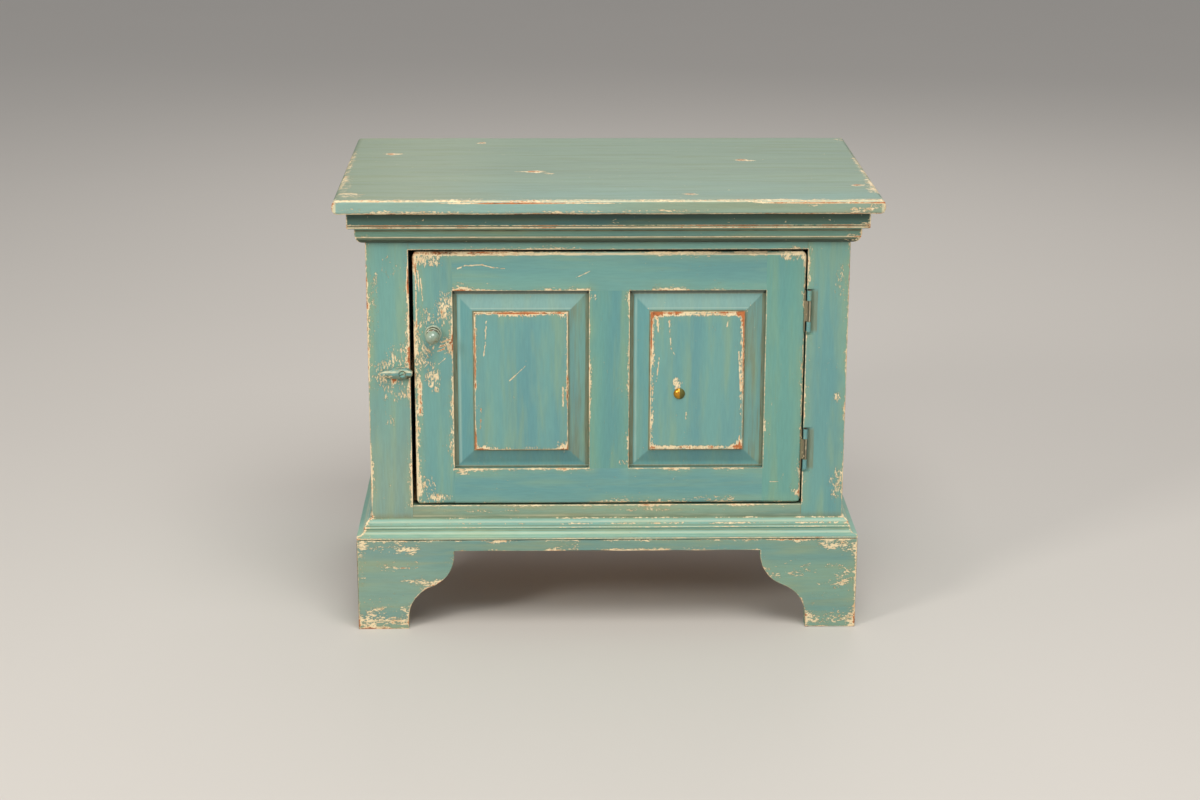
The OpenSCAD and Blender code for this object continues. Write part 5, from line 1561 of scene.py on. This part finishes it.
knob_mesh.polygons.foreach_set("use_smooth", [True] * len(knob_mesh.polygons))
knob = bpy.data.objects.new("knob_turned", knob_mesh)
bpy.context.scene.collection.objects.link(knob)
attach(knob, body_of_node("door_knob"))
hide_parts("door_knob")
print("knob faces:", len(knob_mesh.polygons))

# %% [markdown]
# ## Sweeping the mouldings
# A joiner runs a moulding as one long profile, and mitres it round the front corners. The rule is
# short, so a Geometry Nodes tree can make it: a grid has a column for each place along the run and a
# row for each point of the profile. A point that stands out by p from the case is at x = half width
# + p on the sides and at y = front - p in front, and where the two meet, that is the mitre. The
# profile itself is a closed line of mesh edges, drawn from the same sizes as the solid.

# %% Geometry Nodes: mitred sweep
sweep_inputs = ["Half_width", "Front", "Rear", "Slices", "Wobble", "Seed"]
sweep, entry, leave = geometry_tree("mitred_sweep", sweep_inputs)
half_width, front_at, rear_at, slices, wobble, seed = [
    Field(sweep, entry.outputs[label]) for label in sweep_inputs]
size = sweep.nodes.new("GeometryNodeAttributeDomainSize")
grid = sweep.nodes.new("GeometryNodeMeshGrid")
pick = sweep.nodes.new("GeometryNodeSampleIndex")
pick.data_type = "FLOAT_VECTOR"
lay = sweep.nodes.new("GeometryNodeSetPosition")
sweep.links.new(entry.outputs["Geometry"], size.inputs["Geometry"])
rows = Field(sweep, size.outputs["Point Count"])
columns = slices * 3 + 1
connect(sweep, columns, grid.inputs["Vertices X"])
connect(sweep, rows, grid.inputs["Vertices Y"])
connect(sweep, columns - 1, grid.inputs["Size X"])
connect(sweep, rows - 1, grid.inputs["Size Y"])
at = Field(sweep, sweep.nodes.new("GeometryNodeInputPosition").outputs[0])
column, row = at.split()[:2]
run = (column + (columns - 1) * 0.5) / slices
row_number = (row + (rows - 1) * 0.5).math("ROUND")
sweep.links.new(entry.outputs["Geometry"], pick.inputs["Geometry"])
connect(sweep, at, next(s for s in pick.inputs if s.name == "Value" and s.type == "VECTOR"))
connect(sweep, row_number, pick.inputs["Index"])
point = Field(sweep, next(s for s in pick.outputs if s.type == "VECTOR"))
stand, height = point.split()[::2]
uneven_by = noise(join(sweep, run * 3.7 + seed, seed, height * 9), 1.6, 3) - 0.5
stand_worn = stand + (uneven_by * wobble * -1).least(0) * stand.rise(0, 4 * mm)
across = (run - 1).clamp() * 2 - 1
along = run.clamp() - (run - 2).clamp()
connect(sweep, join(sweep, across * (half_width + stand_worn),
                    rear_at + (front_at - rear_at - stand_worn) * along, height), lay.inputs["Position"])
sweep.links.new(grid.outputs["Mesh"], lay.inputs["Geometry"])
finish_tree(sweep, lay, entry, leave)

# %% Crown and base profiles
TOP_Z, PLINTH_Z = TOP_LOW.z / mm, base_foot / mm
bead_z = TOP_Z - BEAD_DROP
crown_profile = [(0, TOP_Z), (19.2, TOP_Z), (20, TOP_Z - 0.8), (20, TOP_Z - 10)] \
    + arc(18.2, bead_z, 1.8, 0, -150) + arc(14.85, bead_z - 4.25, 3.35, 90, 180) \
    + [(11.5, bead_z - 10.9), (11.1, bead_z - 11.3)] + arc(0.5, bead_z - 11.3, 10.4, 0, -90, 12) \
    + [(0, bead_z - 21.7)]
base_profile = [(0, PLINTH_Z), (16.8, PLINTH_Z)] + arc(16.8, PLINTH_Z + 1.2, 1.2, -90, 0, 5) \
    + arc(17.2, PLINTH_Z + 4.2, 0.8, 0, 90, 4) + arc(15.4, PLINTH_Z + 11, 6, -90, -180, 10) \
    + arc(7.8, PLINTH_Z + 12.6, 1.6, -90, 90, 8) + arc(-0.6, PLINTH_Z + 14.7, 8.4, 0, 86, 10) \
    + [(0, PLINTH_Z + 23.08)]


def swept(name, profile, finish, nodes, seed):
    """A moulding that replaces its CAD runs."""
    mesh = bpy.data.meshes.new(name + "_profile")
    outline = [(stand * mm, 0, z * mm) for stand, z in profile + profile[:1]]
    mesh.from_pydata(outline, [(i, i + 1) for i in range(len(outline) - 1)], [])
    holder = bpy.data.objects.new(name + "_profile", mesh)
    bpy.context.scene.collection.objects.link(holder)
    with_tree(holder, sweep, finish, Half_width=CASE_HALF, Front=FRONT, Rear=REAR, Slices=40,
              Wobble=1.6 * mm, Seed=seed)
    piece = as_piece(holder, name, "cabinet", close=True)
    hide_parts(*nodes)
    print(name, "faces:", len(piece.data.polygons), "points in the profile:", len(profile))


swept("crown_moulding", crown_profile, crown_finish,
      ["crown_moulding_" + side for side in ("front", "left", "right")], 4)
swept("base_moulding", base_profile, base_finish,
      ["base_moulding_" + side for side in ("front", "left", "right")], 9)

# %% [markdown]
# ## Nails
# The back boards are nailed to the rail, the shelf and the floor. A nail line is a mesh edge. The
# tree turns each edge into a curve, puts points along it at even steps, sets a low hammered head on
# each one, and turns and sizes each head a little differently.

# %% Geometry Nodes: nail heads
def random_number(tree, low, high, seed):
    """A random number between low and high, another for each point."""
    node = tree.nodes.new("FunctionNodeRandomValue")
    node.data_type = "FLOAT"
    ends = [socket for socket in node.inputs if socket.name in ("Min", "Max") and socket.type == "VALUE"]
    ends[0].default_value, ends[1].default_value = low, high
    connect(tree, seed, node.inputs["Seed"])
    return Field(tree, next(socket for socket in node.outputs if socket.type == "VALUE" and socket.enabled))


nail_inputs = ["Spacing", "Head_radius", "Dome", "Seed"]
nails, entry, leave = geometry_tree("nail_heads", nail_inputs)
to_curve = nails.nodes.new("GeometryNodeMeshToCurve")
evenly = nails.nodes.new("GeometryNodeResampleCurve")
evenly.mode = "LENGTH"
head = nails.nodes.new("GeometryNodeMeshUVSphere")
head.inputs["Segments"].default_value, head.inputs["Rings"].default_value = 14, 8
flatten = nails.nodes.new("GeometryNodeTransform")
hammer = nails.nodes.new("GeometryNodeSetPosition")
place_heads = nails.nodes.new("GeometryNodeInstanceOnPoints")
spacing, head_radius, dome, seed = [Field(nails, entry.outputs[label]) for label in nail_inputs]
nails.links.new(entry.outputs["Geometry"], to_curve.inputs["Mesh"])
nails.links.new(to_curve.outputs["Curve"], evenly.inputs["Curve"])
connect(nails, spacing, evenly.inputs["Length"])
connect(nails, head_radius, head.inputs["Radius"])
connect(nails, join(nails, 1, dome, 1), flatten.inputs["Scale"])
nails.links.new(head.outputs["Mesh"], flatten.inputs["Geometry"])
dents = noise(Field(nails, nails.nodes.new("GeometryNodeInputPosition").outputs[0]), 600, 2) - 0.5
dent = join(nails, dents * (0.5 * mm), dents * (0.4 * mm), dents * (0.5 * mm))
connect(nails, dent, hammer.inputs["Offset"])
nails.links.new(flatten.outputs["Geometry"], hammer.inputs["Geometry"])
turned = random_number(nails, 0.0, 6.28, seed)
sized = random_number(nails, 0.85, 1.1, seed + 7)
connect(nails, join(nails, 0, turned, 0), place_heads.inputs["Rotation"])
connect(nails, join(nails, sized, sized, sized), place_heads.inputs["Scale"])
nails.links.new(evenly.outputs["Curve"], place_heads.inputs["Points"])
nails.links.new(hammer.outputs["Geometry"], place_heads.inputs["Instance"])
finish_tree(nails, place_heads, entry, leave)

# %% Nails in the back boards
def nail_lines(name, lines, finish, body, spacing, radius, dome):
    """Nails along straight lines, each given by its two ends."""
    mesh = bpy.data.meshes.new(name + "_lines")
    ends = [end for line in lines for end in line]
    mesh.from_pydata(ends, [(i, i + 1) for i in range(0, len(ends), 2)], [])
    holder = bpy.data.objects.new(name + "_lines", mesh)
    bpy.context.scene.collection.objects.link(holder)
    with_tree(holder, nails, finish, Spacing=spacing, Head_radius=radius, Dome=dome, Seed=3)
    piece = as_piece(holder, name, body)
    print(name, "faces:", len(piece.data.polygons))


nail_inset = 22 * mm
nail_heights = [sum(corner.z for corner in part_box(node)) / 2
                for node in ("back_rail", "shelf", "cabinet_floor")]
back_lines = []
for index in (1, 2, 3, 4):
    low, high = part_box(f"back_board_{index}")
    for height in nail_heights:
        back_lines.append(((low.x + nail_inset, REAR, height), (high.x - nail_inset, REAR, height)))
nail_lines("back_nails", back_lines, worn_steel("nail_steel", 70), "cabinet",
           46 * mm, 2.8 * mm, 0.32)

# %% [markdown]
# ## The studio's floor, and the sizes
# The floor stays plain and pale, with only a slow drift of tone, so nothing draws the eye from the
# cabinet. The last cell prints the boxes of the solids and of what is seen.

# %% Floor finish
material, tree, place = blank_material("floor_grey")
tone = noise(place, 1.3, 2)
set_surface(tree, mix(tone * 0.3, (0.62, 0.585, 0.54), (0.56, 0.53, 0.49)), 0.7)
floor.data.materials.append(material)
print("floor finish:", material.name)

# %% Sizes
size = {"cad": [list(corner) for corner in cad_box], "visual": [list(corner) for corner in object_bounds()]}
print("boxes:", size)
